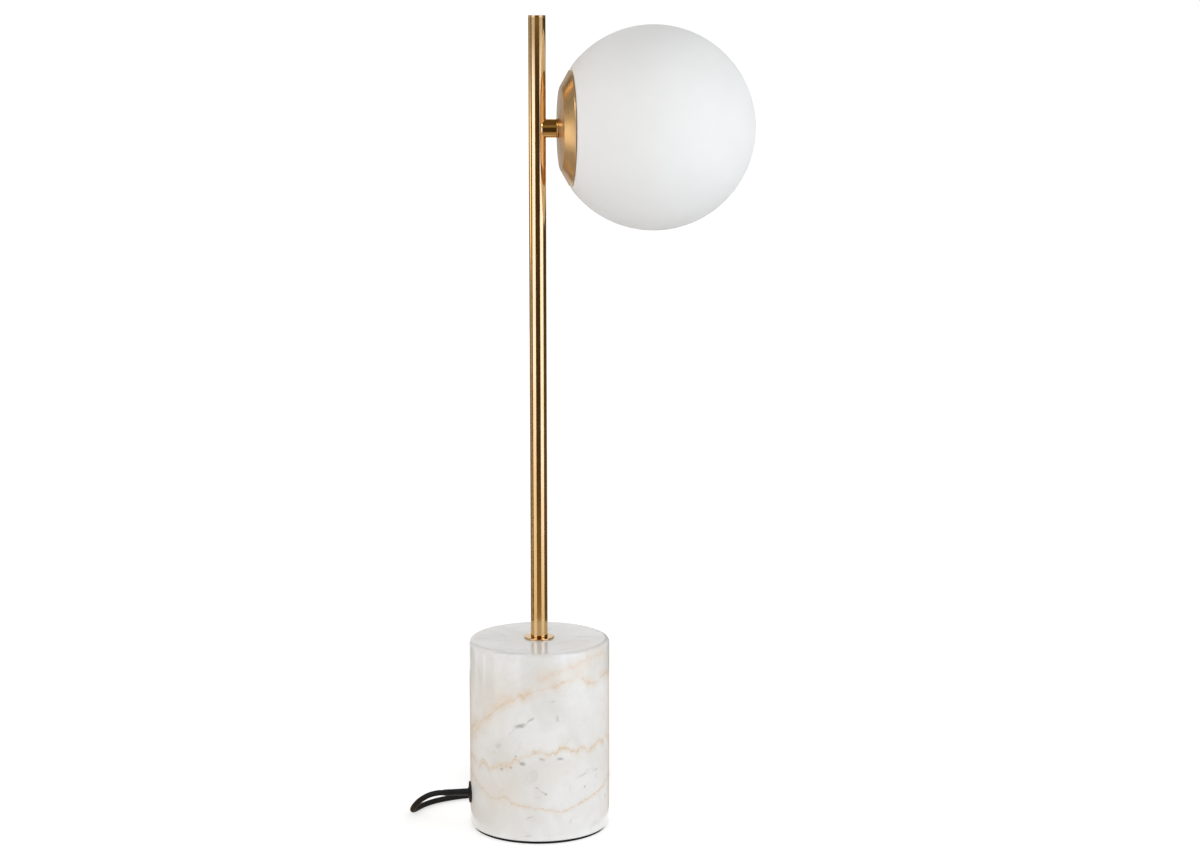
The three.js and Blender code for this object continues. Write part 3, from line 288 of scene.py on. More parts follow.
# Uneven gloss: soft patches that wander between a low and a high roughness, with finer ones inside them.
uneven_gloss, given, result = new_group(
    "uneven_gloss", {"Scale": 60.0, "Low": 0.2, "High": 0.3}, ["Roughness", "Share"]
)
patches = noise(uneven_gloss, given["Position"], given["Scale"], 5.0, 0.6)[0]
share = ranged(uneven_gloss, patches, 0.3, 0.7)
spread = ranged(uneven_gloss, share, start=given["Low"], stop=given["High"])
uneven_gloss.links.new(spread, result["Roughness"])
uneven_gloss.links.new(share, result["Share"])

# Moulded grain: the fine orange-peel and specks that a mould leaves in rubber and plastic.
moulded_grain, given, result = new_group("moulded_grain", {"Scale": 900.0}, ["Height", "Specks"])
coarse = noise(moulded_grain, given["Position"], given["Scale"], 3.0, 0.55)[0]
finer = reckoned(moulded_grain, "MULTIPLY", given["Scale"], 1.9)
fine = place(moulded_grain, "TexVoronoi", {"Vector": given["Position"], "Scale": finer})["Distance"]
moulded_grain.links.new(reckoned(moulded_grain, "MULTIPLY", coarse, fine), result["Height"])
moulded_grain.links.new(ranged(moulded_grain, fine, 0.0, 0.5), result["Specks"])


def dress(tree, shader, colour, roughness, relief=None, depth=0.0, strength=0.5):
    """Gives a shader its colour and roughness, and breaks up its light by a relief of a small depth."""
    tree.links.new(colour, shader.inputs["Base Color"])
    tree.links.new(roughness, shader.inputs["Roughness"])
    if relief is not None:
        bump = place(tree, "Bump", {"Height": relief, "Distance": depth, "Strength": strength})
        tree.links.new(bump[0], shader.inputs["Normal"])


def moulded(name, colour, worn, low, high, patch_scale, grain_scale, depth=0.00004):
    """Rubber or plastic from a mould: its colour drifts towards a worn shade, its gloss is uneven between
    a low and a high roughness, and a fine grain breaks up the light on it."""
    material, tree, shader, where = finish(name, Specular_IOR_Level=0.3)
    gloss = grouped(tree, uneven_gloss, where, Scale=patch_scale, Low=low, High=high)
    grain = grouped(tree, moulded_grain, where, Scale=grain_scale)
    dusted = reckoned(tree, "MULTIPLY", gloss["Share"], grain["Specks"])
    dress(tree, shader, blended(tree, dusted, colour, worn), gloss["Roughness"], grain["Height"], depth, 0.6)
    return material


def seat(piece, material, slot, *replaced, body="root"):
    """Gives a piece its material and body, in place of one or more nodes. The slot is not used."""
    piece.data.materials.clear()
    piece.data.materials.append(material)
    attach(piece, body)
    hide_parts(*replaced)


cord_jacket = moulded("cord_jacket", (0.005, 0.005, 0.005), (0.014, 0.013, 0.013), 0.45, 0.62, 40.0, 1400.0)
lead_path = even_steps(smooth_route(lead_points), cord_step)
rest_path = even_steps(
    np.vstack([smooth_route(middle_points), coil_route(), smooth_route(end_points)]), cord_step
)
cord_to_switch = tube_along("cord_to_switch", lead_path, cord_radius)
cord_to_plug = tube_along("cord_to_plug", rest_path, cord_radius, sides=14)
seat(cord_to_switch, cord_jacket, "cord_jacket", "cord_lead")
seat(cord_to_plug, cord_jacket, "cord_jacket", "cord_middle", "cord_coil", "cord_end")


# Marble drum
# The drum is turned from one block of white marble with ochre and grey veins, its top edge rounded over
# and its faces honed and then polished. A hollow in its foot takes the clamp and the terminals, and a
# cross hole takes the cord gland.
drum_radius = 0.05
drum_bottom, drum_top = 0.0021, 0.1376
drum_top_round, drum_foot_round = 0.0032, 0.0014
hollow_radius, hollow_top = 0.028, 0.0421
drum_bore = 0.005
gland_height, gland_hole = 0.025, 0.0052


def rounded(corners, radii, steps=8):
    """An outline with its corners rounded. Each corner becomes an arc that touches both of its sides: its
    centre lies on the line that halves the corner, at the radius over the sine of half the angle, and the
    arc turns from one touching point to the other at an even rate. A radius of 0 keeps the corner."""
    corners = np.asarray(corners, float)
    radii = np.asarray(radii, float)[:, None]
    back = unit(np.roll(corners, 1, axis=0) - corners)
    ahead = unit(np.roll(corners, -1, axis=0) - corners)
    half = np.arccos(np.clip((back * ahead).sum(axis=1, keepdims=True), -1, 1)) / 2
    sine, slope = np.maximum(np.sin(half), 1e-9), np.maximum(np.tan(half), 1e-9)
    centre = corners + unit(back + ahead) * radii / sine
    start = (corners + back * radii / slope - centre)[:, None]
    end = (corners + ahead * radii / slope - centre)[:, None]
    sweep = (np.pi - 2 * half)[:, None]
    share = np.linspace(0, 1, steps + 1)[None, :, None]
    turned = np.sin((1 - share) * sweep) * start + np.sin(share * sweep) * end
    arcs = centre[:, None] + turned / np.maximum(np.sin(sweep), 1e-9)
    return np.where(radii[:, None] > 0, arcs, corners[:, None]).reshape(-1, 2)


def turned_about_pole(name, outline, sides=96, closed=True):
    """A surface turned about the upright axis: radius times cosine, radius times sine, height, for each
    [radius, height] of the outline."""
    outline = np.asarray(outline, float)
    turn = full_turn(sides)
    radius, height = outline[:, :1], outline[:, 1:]
    grid = np.stack([radius * np.cos(turn), radius * np.sin(turn), height + 0 * turn], axis=-1)
    return skin(name, grid, closed)


def moved(piece, change):
    """A piece whose every point goes from x, y, z to where a change puts it."""
    at = np.empty(len(piece.data.vertices) * 3, np.float32)
    piece.data.vertices.foreach_get("co", at)
    piece.data.vertices.foreach_set("co", np.stack(change(*at.reshape(-1, 3).T), axis=1).ravel())
    piece.data.update()
    return piece


def rod_along_x(name, radius, start, stop, height):
    """A plain rod on a level axis over X, from one place to another, used to cut a round hole."""
    rod = turned_about_pole(name, [(0, start), (radius, start), (radius, stop), (0, stop)], 48)
    return moved(rod, lambda x, y, z: (z, y, height - x))


def carved(piece, tool, operation="DIFFERENCE"):
    """A piece with a tool cut from it or joined to it. The tool is used up."""
    cutter = piece.modifiers.new("cutter", "BOOLEAN")
    cutter.operation = operation
    cutter.solver = "EXACT"
    cutter.object = tool
    shaped = bpy.data.meshes.new_from_object(piece.evaluated_get(bpy.context.evaluated_depsgraph_get()))
    piece.modifiers.clear()
    old = piece.data
    piece.data = shaped
    bpy.data.meshes.remove(old)
    bpy.data.objects.remove(tool)
    piece.data.shade_smooth()
    piece.data.set_sharp_from_angle(angle=sharp_turn)
    return piece


drum_outline = rounded(
    [
        (drum_bore, drum_top),
        (drum_radius, drum_top),
        (drum_radius, drum_bottom),
        (hollow_radius, drum_bottom),
        (hollow_radius, hollow_top),
        (drum_bore, hollow_top),
    ],
    [0, drum_top_round, drum_foot_round, 0, 0, 0],
    steps=12,
)
drum = turned_about_pole("marble_drum", drum_outline, 160)
drum = carved(drum, rod_along_x("cross_hole", gland_hole, -0.06, -0.02, gland_height))

# One vein in the stone: a thin sheet that cuts the drum's side at a given height round it. The height
# wanders slowly, jags in fine teeth, and the line fades in and out along its length.
vein, given, result = new_group(
    "vein",
    {"Height": 0.06, "Wander": 0.003, "Teeth": 0.0012, "Width": 0.0004, "Halo": 0.004},
    ["Line", "Glow"],
)
level_cut = place(vein, "Mapping", {"Vector": given["Position"], "Scale": (1, 1, 0.2)})[0]
slow = noise(vein, level_cut, 55.0, 3.0)[0]
quick = noise(vein, level_cut, 290.0, 4.0, 0.72)[0]
strength = noise(vein, given["Position"], 90.0, 4.0)[0]
grains = noise(vein, given["Position"], 900.0, 3.0, 0.75)[0]
height = place(vein, "SeparateXYZ", {0: given["Position"]})[2]
offset = reckoned(vein, "SUBTRACT", height, given["Height"])
swing = reckoned(vein, "MULTIPLY", reckoned(vein, "SUBTRACT", slow, 0.5), given["Wander"])
teeth = reckoned(vein, "MULTIPLY", reckoned(vein, "SUBTRACT", quick, 0.5), given["Teeth"])
away = reckoned(vein, "ADD", offset, reckoned(vein, "ADD", swing, teeth))
away = reckoned(vein, "ABSOLUTE", away)
line = ranged(vein, away, 0.0, given["Width"], 1.0, 0.0, interpolation_type="SMOOTHSTEP")
glow = ranged(vein, away, 0.0, given["Halo"], 1.0, 0.0, interpolation_type="SMOOTHERSTEP")
firm = ranged(vein, strength, 0.36, 0.6, 0.3, 1.0)
dotted_line = reckoned(vein, "MULTIPLY", line, ranged(vein, grains, 0.4, 0.6, 0.15, 1.0))
vein.links.new(reckoned(vein, "MULTIPLY", dotted_line, firm), result["Line"])
vein.links.new(reckoned(vein, "MULTIPLY", glow, firm), result["Glow"])

marble, tree, shader, where = finish("marble", IOR=1.6)
apart = place(tree, "SeparateXYZ", {0: where})
round_share = ranged(tree, reckoned(tree, "ARCTAN2", apart[1], apart[0]), -math.pi, math.pi)
curve_top, line_gap = 140, 0.0016


def height_round_drum(points, handle="AUTO"):
    """A height that follows chosen [bearing in degrees, millimetres] points round the drum, by a smooth
    curve or, with vector handles, by straight stretches with sharp turns."""
    bend = place(tree, "FloatCurve", {"Value": round_share})[0]
    curve = bend.node.mapping.curves[0]
    shares = [((degrees + 180) / 360, level / curve_top) for degrees, level in points]
    curve.points[0].location = shares[0]
    curve.points[1].location = shares[-1]
    for spot in shares[1:-1]:
        curve.points.new(*spot)
    for spot in curve.points:
        spot.handle_type = handle
    bend.node.mapping.update()
    return reckoned(tree, "MULTIPLY", bend, curve_top / 1000)


main_height = height_round_drum(
    [(-180, 57), (-164, 54), (-154.6, 50.6), (-148, 54), (-143.6, 54.9), (-140.3, 49.9), (-129.7, 55.3),
     (-119.3, 55.8), (-115.6, 61), (-105, 64.2), (-99.4, 67.9), (-88, 64.7), (-76.5, 70.6), (-71.7, 69.1),
     (-65.3, 64.7), (-59.9, 69), (-51, 63.9), (-38.1, 69), (-29.3, 66.5), (-27.8, 71.8), (-17.3, 66.7),
     (-4, 71), (8, 66), (30, 61), (52, 54), (80, 50), (104, 46), (130, 49), (155, 53), (180, 57)],
    "VECTOR",
)
upper_height = height_round_drum(
    [(-180, 72), (-144, 88), (-121.4, 103), (-103.7, 108.8), (-86.8, 114.7), (-79.9, 115.4),
     (-62.6, 118.7), (-50.9, 113.9), (-42.1, 113.3), (-30.8, 116.1), (-20.2, 114.8), (30, 100),
     (90, 80), (140, 68), (180, 72)]
)
hazy_height = height_round_drum(
    [(-180, 66), (-153, 79.2), (-132, 100.2), (-126.6, 105.8), (-111.7, 107.2), (-95.8, 118.9),
     (-86.8, 122.8), (-70.3, 126.6), (-40, 131), (20, 112), (90, 90), (140, 70), (180, 66)]
)
lower_height = height_round_drum(
    [(-180, 46), (-143.9, 32.8), (-134.3, 29.9), (-124.5, 32.9), (-118.2, 29.1), (-105.2, 27.5),
     (-89.4, 25.5), (-77.8, 23.7), (-60, 28.1), (-40.2, 31.9), (-24, 37), (20, 50), (90, 66), (180, 46)]
)
above_main = reckoned(tree, "ADD", main_height, line_gap)
main_vein, second_line, upper_vein, hazy_vein, lower_vein = (
    grouped(tree, vein, where, Height=level, Wander=wander, Teeth=jags, Width=width, Halo=halo)
    for level, wander, jags, width, halo in (
        (main_height, 0.003, 0.0105, 0.0013, 0.0055),
        (above_main, 0.012, 0.009, 0.0009, 0.002),
        (upper_height, 0.004, 0.01, 0.002, 0.0085),
        (hazy_height, 0.006, 0.013, 0.0022, 0.0125),
        (lower_height, 0.002, 0.006, 0.0013, 0.005),
    )
)

# Marks in the stone: soft spots and strokes, ragged at their edges, that lie at their own places on the
# side and on the top.
tear, side_depth, top_depth, spot_fade = 0.0045, 0.006, 0.003, 1.35
torn = noise(tree, where, 240.0, 4.0, 0.65)["Color"]
torn = place(tree, "VectorMath", {0: torn, 1: (0.5, 0.5, 0.5)}, operation="SUBTRACT")[0]
torn = place(tree, "VectorMath", {0: torn, "Scale": tear}, operation="SCALE")[0]
ragged = place(tree, "VectorMath", {0: where, 1: torn})[0]


def side_spot(degrees, level, length, height, lean):
    """The middle, turn and half sizes of a spot on the drum's side, sized in millimetres by its half
    length and half height."""
    turn = math.radians(degrees)
    middle = (drum_radius * math.cos(turn), drum_radius * math.sin(turn), level / 1000)
    return middle, (math.radians(lean), 0, turn), (side_depth, length / 1000, height / 1000)


def top_spot(x, y, length, width, degrees):
    """The same for a spot on the drum's top, whose length runs at an angle from X."""
    turn = math.radians(degrees - 90)
    return (x / 1000, y / 1000, drum_top), (0, 0, turn), (width / 1000, length / 1000, top_depth)


def spotted(on_side, on_top=()):
    """The strongest of several spots, each fading from its strength, the last number of its row, in its
    middle to 0 a little past its half sizes."""
    spots = [(*side_spot(*row), mark) for *row, mark in on_side]
    spots += [(*top_spot(*row), mark) for *row, mark in on_top]
    strongest = 0.0
    for middle, turned, size, mark in spots:
        laid = {"Vector": ragged, "Location": middle, "Rotation": turned, "Scale": size}
        local = place(tree, "Mapping", laid, vector_type="TEXTURE")[0]
        away = place(tree, "VectorMath", {0: local}, operation="LENGTH")["Value"]
        mask = ranged(tree, away, 0.0, spot_fade, mark, 0.0, interpolation_type="SMOOTHSTEP")
        strongest = reckoned(tree, "MAXIMUM", strongest, mask)
    return strongest


grey_marks = spotted(
    on_side=[
        (-110.8, 86.2, 4.6, 1.7, 22, 1.0), (-102.6, 90.6, 4.2, 0.7, 38, 0.75),
        (-119, 80.5, 5.5, 0.6, 46, 0.3), (-80.6, 91.2, 1.3, 2.6, 0, 0.5), (-84, 104, 2.2, 1.3, 0, 0.3),
        (-109.1, 58.9, 2.6, 1.6, -25, 1.0), (-114.4, 63.6, 1.4, 1.0, 0, 0.8),
        (-127.3, 53.2, 1.5, 0.9, 0, 0.9), (-78.3, 62.1, 2.8, 1.5, -8, 0.95),
        (-131, 69.9, 3.2, 2.6, 20, 0.35), (-97.4, 41.6, 2.2, 0.7, -38, 0.55),
        (-103.6, 19.3, 3.2, 0.8, 24, 0.45), (-104.8, 6.5, 3.4, 0.8, 12, 0.4),
        (-165, 18.5, 4.0, 0.7, -50, 0.4), (-27.7, 25.7, 2.0, 2.2, 60, 0.4), (20, 70, 6.0, 1.2, 30, 0.6),
        (95, 100, 5.0, 1.5, -20, 0.7), (150, 38, 4.0, 1.4, 15, 0.6),
    ],
    on_top=[(-42.3, 3.2, 5, 0.9, -25, 0.35), (-24.3, 8.9, 5, 1.0, -40, 0.4)],
)
brown_marks = spotted(
    on_side=[
        (-93.2, 62.3, 2.6, 1.3, -10, 0.7), (-119.3, 54.8, 1.3, 0.9, 0, 0.8), (-90.5, 36.8, 1.4, 1.1, 0, 1.0),
        (-93.5, 38.6, 2.6, 0.6, -35, 0.5), (-55.6, 39.2, 1.5, 1.0, 20, 0.7), (-60, 27.9, 1.2, 0.8, 20, 0.7),
        (-58, 47.4, 6.5, 0.7, 14, 0.4), (-43, 49.2, 3.5, 0.6, 8, 0.5), (-72, 74, 5.0, 0.5, 48, 0.3),
        (110, 84, 3.0, 1.2, 10, 0.6),
    ],
    on_top=[
        (30.2, -0.9, 9, 1.0, -14, 0.6), (44, 14.2, 3, 0.9, 28, 0.6), (31.2, -14.3, 4, 0.9, -10, 0.35),
        (-32.3, -31.1, 8, 0.9, -37, 0.4), (14, -36.5, 6, 1.0, 12, 0.3),
    ],
)
warm_patches = spotted(
    on_side=[
        (-142, 104, 24, 26, 0, 0.5), (-128, 34, 26, 16, 0, 0.55), (-80, 52, 24, 10, 8, 0.35),
        (-60, 122, 26, 9, 0, 0.4), (60, 80, 30, 24, 0, 0.5),
    ]
)
cloud = ranged(tree, noise(tree, where, 22.0, 8.0, 0.58, 0.9)[0], 0.38, 0.62)
mottle = ranged(tree, noise(tree, where, 130.0, 6.0, 0.65)[0], 0.5, 0.75, 0.0, 0.35)
crystal = place(tree, "TexVoronoi", {"Vector": where, "Scale": 1100.0})["Distance"]
crystal = ranged(tree, crystal, 0.0, 0.7, 0.0, 0.12)
smudge = ranged(tree, noise(tree, where, 38.0, 5.0, 0.6, 2.2)[0], 0.61, 0.74, 0.0, 0.5)
stone = blended(tree, cloud, (0.85, 0.83, 0.8), (0.945, 0.94, 0.935))
for share, depth, colour in (
    (mottle, 1.0, (0.80, 0.79, 0.775)),
    (crystal, 1.0, (0.94, 0.935, 0.93)),
    (smudge, 1.0, (0.68, 0.67, 0.655)),
    (warm_patches, 0.75, (0.86, 0.78, 0.68)),
    (hazy_vein["Glow"], 0.5, (0.86, 0.75, 0.64)),
    (upper_vein["Glow"], 0.5, (0.86, 0.74, 0.61)),
    (main_vein["Glow"], 0.4, (0.84, 0.71, 0.55)),
    (lower_vein["Glow"], 0.3, (0.86, 0.74, 0.6)),
    (hazy_vein["Line"], 0.5, (0.82, 0.6, 0.4)),
    (upper_vein["Line"], 0.8, (0.8, 0.55, 0.33)),
    (lower_vein["Line"], 0.8, (0.76, 0.53, 0.31)),
    (second_line["Line"], 0.6, (0.76, 0.52, 0.29)),
    (main_vein["Line"], 0.95, (0.75, 0.5, 0.25)),
    (brown_marks, 0.75, (0.42, 0.3, 0.19)),
    (grey_marks, 0.75, (0.34, 0.335, 0.33)),
):
    stone = blended(tree, reckoned(tree, "MULTIPLY", share, depth), stone, colour)
polish = grouped(tree, uneven_gloss, where, Scale=30.0, Low=0.09, High=0.15)["Roughness"]
softer_vein = reckoned(tree, "MULTIPLY", main_vein["Line"], 0.25)
dress(tree, shader, stone, reckoned(tree, "ADD", polish, softer_vein))
seat(drum, marble, "marble", "marble_base")


# Foot pad
# The pad is a black foam disc glued under the drum, set in from its edge so that only a thin dark line
# shows. It keeps the stone off the table and closes the hollow.
pad_radius, pad_thickness, pad_edge = 0.0479, 0.002, 0.0005
pad_outline = rounded(
    [(0, 0), (pad_radius, 0), (pad_radius, pad_thickness), (0, pad_thickness)],
    [0, pad_edge, pad_edge, 0],
    steps=5,
)
pad = turned_about_pole("foam_pad", pad_outline, 160, closed=False)
pad_foam = moulded(
    "pad_foam", (0.003, 0.003, 0.003), (0.012, 0.012, 0.011), 0.75, 0.92, 90.0, 1300.0, depth=0.00025
)
seat(pad, pad_foam, "pad_foam", "foot_pad")


# Cord gland
# The gland is one moulding of black rubber, pushed into the cross hole until its barb springs out inside.
# Its flange follows the drum's round, and its long nose tapers to the cord and keeps it from kinking.
gland_rows = [
    (0, 0.0239, 0), (0.0047, 0.0239, 0), (0.0059, 0.0253, 0), (0.0059, 0.0255, 0), (0.0049, 0.0256, 0),
    (0.0049, 0.0495, 0), (0.0049, 0.0501, 1), (0.0074, 0.0501, 1), (0.0077, 0.0502, 1),
    (0.0078, 0.0504, 1), (0.0078, 0.0506, 1), (0.0077, 0.0508, 1), (0.0074, 0.051, 1),
    (0.0062, 0.0512, 1), (0.0047, 0.0513, 1), (0.0036, 0.0514, 0.9), (0.0031, 0.0517, 0.6),
    (0.0027, 0.0521, 0.2), (0.00255, 0.0526, 0), (0.00235, 0.0615, 0), (0.00225, 0.0688, 0),
    (0.00222, 0.0692, 0), (0.00214, 0.0693, 0), (0, 0.0693, 0),
]


def gland_surface(name, rows, sides=48):
    """A surface turned about the gland's axis. Where a row's third number is 1, each point slides back
    along the axis onto a drum of that radius: the root of its square less the square of the point's
    sideways distance. At 0 the row is flat, and between them it is part one and part the other."""
    radius, reach, wrap = (np.asarray(rows, float)[:, i, None] for i in range(3))
    turn = full_turn(sides)
    sideways = radius * np.sin(turn)
    outward = wrap * np.sqrt(reach**2 - sideways**2) + (1 - wrap) * (reach + 0 * turn)
    return skin(name, np.stack([-outward, sideways, gland_height + radius * np.cos(turn)], axis=-1))


rubber = moulded("black_rubber", (0.005, 0.005, 0.005), (0.016, 0.015, 0.015), 0.42, 0.58, 120.0, 1500.0)
seat(gland_surface("gland", gland_rows), rubber, "black_rubber", "cord_gland")


# Collar, pole and cap
# The pole is a drawn brass tube, polished and lacquered, that stands on a thin turned collar and is drawn
# down onto the marble by the nipple in its foot. A turned cap with a spigot closes its top, flush and flat.
pole_radius, pole_bore = 0.006, 0.0043
pole_bottom, pole_top = 0.1388, 0.5752
pole_edge, seam_edge = 0.0003, 0.0001
collar_radius, collar_bottom = 0.0105, drum_top + hairline
collar_top = pole_bottom - hairline
lamp_top, cap_thickness, cap_depth, spigot_radius = 0.5765, 0.0012, 0.0072, 0.004
arm_height, side_hole = 0.4992, 0.0034


def clouded(
    name, colour, other, low, high, patch_scale, mark_scale, depth,
    detail=2.0, strength=0.5, stretch=(1, 1, 1), **values
):
    """A smooth finish: its colour and its gloss cloud together between two shades and two roughnesses,
    and fine marks, drawn out by a stretch, break up its light. Returns what finish returns."""
    material, tree, shader, where = finish(name, **values)
    gloss = grouped(tree, uneven_gloss, where, Scale=patch_scale, Low=low, High=high)
    drawn = place(tree, "Mapping", {"Vector": where, "Scale": stretch})[0]
    fine_marks = noise(tree, drawn, mark_scale, detail)[0]
    shade = blended(tree, gloss["Share"], colour, other)
    dress(tree, shader, shade, gloss["Roughness"], fine_marks, depth, strength)
    return material, tree, shader, where


polished_brass = clouded(
    "polished_brass", (0.80, 0.51, 0.21), (0.85, 0.56, 0.25), 0.1, 0.15, 55.0, 3000.0, 0.000002,
    stretch=(1.0, 1.0, 0.02), Metallic=1.0,
)[0]
collar_outline = rounded(
    [(pole_bore, collar_bottom), (collar_radius, collar_bottom), (collar_radius, collar_top),
     (pole_bore, collar_top)],
    [0, seam_edge, pole_edge, 0],
)
tube_outline = rounded(
    [(pole_bore, pole_bottom), (pole_radius, pole_bottom), (pole_radius, pole_top), (pole_bore, pole_top)],
    [0, pole_edge, seam_edge, 0],
)
cap_outline = rounded(
    [
        (0, lamp_top - cap_depth),
        (spigot_radius, lamp_top - cap_depth),
        (spigot_radius, lamp_top - cap_thickness),
        (pole_radius, lamp_top - cap_thickness),
        (pole_radius, lamp_top),
        (0, lamp_top),
    ],
    [0, 0.0004, 0, seam_edge, 0.00035, 0],
)
collar = turned_about_pole("collar", collar_outline)
tube = turned_about_pole("pole_tube", tube_outline)
tube = carved(tube, rod_along_x("side_hole", side_hole, 0.0, 0.012, arm_height))
cap = turned_about_pole("top_cap", cap_outline, closed=False)
seat(collar, polished_brass, "polished_brass", "foot_collar")
seat(tube, polished_brass, "polished_brass", "pole")
seat(cap, polished_brass, "polished_brass", "pole_cap")


# Arm stem and ring
# The side arm is a short turned tube, a little thicker than the pole. Its end is rounded over and cut to
# a saddle that sits on the pole. A narrow ring parts it from the cup, and a hollow rod draws all three
# together.
stem_radius, stem_start, stem_end = 0.0066, 0.0017, 0.01296
stem_end_round = 0.0018
ring_radius, ring_thickness, ring_edge = 0.007, 0.0012, 0.0004
ring_start = stem_end + hairline
ring_end = ring_start + ring_thickness


def turned_about_arm(name, outline, sides=96, closed=True, aside=0.0, height=arm_height, start=0.0):
    """A surface turned about the arm's level axis, or one parallel to it: for each [place along it,
    radius], the place, then radius times sine sideways, and the axis's height plus radius times cosine."""
    outline = np.asarray(outline, float)
    turn = full_turn(sides)
    along, radius = outline[:, :1], outline[:, 1:]
    x = start + along + 0 * turn
    grid = np.stack([x, aside + radius * np.sin(turn), height + radius * np.cos(turn)], axis=-1)
    return skin(name, grid, closed)


def saddled_stem(name, sides=128, steps=28):
    """The stem: a tube about the arm's axis with one rounded edge. Its end stands on an upright cylinder:
    where a point of the tube would lie inside the cylinder, it moves out along the arm to the root of the
    cylinder's radius squared less the point's sideways distance squared."""
    bend = np.linspace(0, np.pi / 2, steps)
    flat = np.linspace(pole_bore, stem_radius - stem_end_round, 4)
    round_edge = stem_radius - stem_end_round * (1 - np.sin(bend))
    radius = np.concatenate([flat, round_edge, [stem_radius, pole_bore]])[:, None]
    round_start = stem_start + stem_end_round * (1 - np.cos(bend))
    along = np.concatenate([np.full(len(flat), stem_start), round_start, [stem_end, stem_end]])[:, None]
    turn = full_turn(sides)
    sideways = radius * np.sin(turn)
    seat_on_pole = np.sqrt(np.maximum((pole_radius + hairline) ** 2 - sideways**2, 0))
    grid = np.stack([np.maximum(along, seat_on_pole), sideways, arm_height + radius * np.cos(turn)], axis=-1)
    return skin(name, grid, closed=True)


ring_outline = rounded(
    [(ring_start, pole_bore), (ring_start, ring_radius), (ring_end, ring_radius), (ring_end, pole_bore)],
    [0, ring_edge, ring_edge, 0],
)
seat(saddled_stem("saddled_stem"), polished_brass, "polished_brass", "arm_stem")
seat(turned_about_arm("parting_ring", ring_outline), polished_brass, "polished_brass", "stem_ring")


# Spun cup
# The cup is spun from brass sheet over a former: a flat middle, a shallow back cone, a wide bevel, and a
# thin rim that the glass meets. The spinning tool and a fine abrasive leave rings round it.
cup_back = ring_end + hairline
cup_wall, rim_wall, corner_wall = 0.001, 0.00202, 0.000265
cup_inside = cup_back + cup_wall
cup_corner, cup_rim = cup_back + 0.0017, cup_back + 0.009
flat_radius, corner_radius, rim_radius = 0.007, 0.029, 0.0418
cup_outline = rounded(
    [
        (cup_back, pole_bore),
        (cup_back, flat_radius),
        (cup_corner, corner_radius),
        (cup_rim, rim_radius),
        (cup_rim, rim_radius - rim_wall),
        (cup_corner + cup_wall, corner_radius - corner_wall),
        (cup_inside, flat_radius),
        (cup_inside, pole_bore),
    ],
    [0, 0.002, 0.0012, 0.0006, 0.0002, 0.0006, 0.001, 0],
)
cup = turned_about_arm("cup", cup_outline, 192)
brushed_brass, tree, shader, where = finish(
    "brushed_brass", Metallic=1.0, Anisotropic=0.55, Anisotropic_Rotation=0.25
)
chart = place(tree, "UVMap", uv_map="around_along")[0]
rings_map = place(tree, "Mapping", {"Vector": chart, "Scale": (2.0, 5200.0, 1.0)})[0]
fine_rings = noise(tree, rings_map, 1.0, 4.0)[0]
bands_map = place(tree, "Mapping", {"Vector": chart, "Scale": (1.0, 900.0, 1.0)})[0]
bands = noise(tree, bands_map, 1.0, 3.0)[0]
gloss = grouped(tree, uneven_gloss, where, Scale=45.0, Low=0.28, High=0.36)["Roughness"]
gloss = reckoned(tree, "ADD", gloss, ranged(tree, fine_rings, 0.3, 0.7, -0.05, 0.06))
shade = blended(tree, bands, (0.70, 0.45, 0.21), (0.82, 0.57, 0.30))
shade = blended(tree, fine_rings, shade, (0.76, 0.52, 0.26))
dress(tree, shader, shade, gloss, fine_rings, 0.000006)
tangent = place(tree, "Tangent", direction_type="UV_MAP", uv_map="around_along")[0]
tree.links.new(tangent, shader.inputs["Tangent"])
seat(cup, brushed_brass, "brushed_brass", "spun_cup")


# Clamp and terminals in the drum
# Zinc-plated steel draws the pole down onto the marble: a hollow threaded rod, a wide washer under the
# hollow's ceiling, a split washer and a nut. A moulded block with two plated screws joins cord and leads.
faint_edge, sheet_edge, fine_edge, nut_edge, soft_edge = 0.0001, 0.00015, 0.0002, 0.0003, 0.0004


def plated(name, colour, dull, low, high, patch_scale=140.0, mark_scale=2200.0):
    """Plated metal, clouding towards a dull colour, with fine marks across it."""
    return clouded(
        name, colour, dull, low, high, patch_scale, mark_scale, 0.000006, detail=3.0, Metallic=1.0
    )[0]


def smoothed(node, edge):
    """A copy of a solid with its flat faces whole, its edges softened by a small width, and shaded smooth
    across the turns of round ones. The solid itself stays as it is."""
    work = bmesh.new()
    work.from_mesh(nodes[node].data)
    bmesh.ops.remove_doubles(work, verts=work.verts, dist=2 * weld_distance)
    bmesh.ops.dissolve_limit(
        work, angle_limit=flat_turn, verts=work.verts, edges=work.edges, delimit=set()
    )
    corners = [e for e in work.edges if e.is_manifold and e.calc_face_angle(0) > sharp_turn]
    bmesh.ops.bevel(
        work, geom=corners, offset=edge, segments=2, profile=0.5, affect="EDGES", clamp_overlap=True
    )
    mesh = bpy.data.meshes.new(node + "_smoothed")
    work.to_mesh(mesh)
    work.free()
    return shown(node + "_smoothed", mesh)


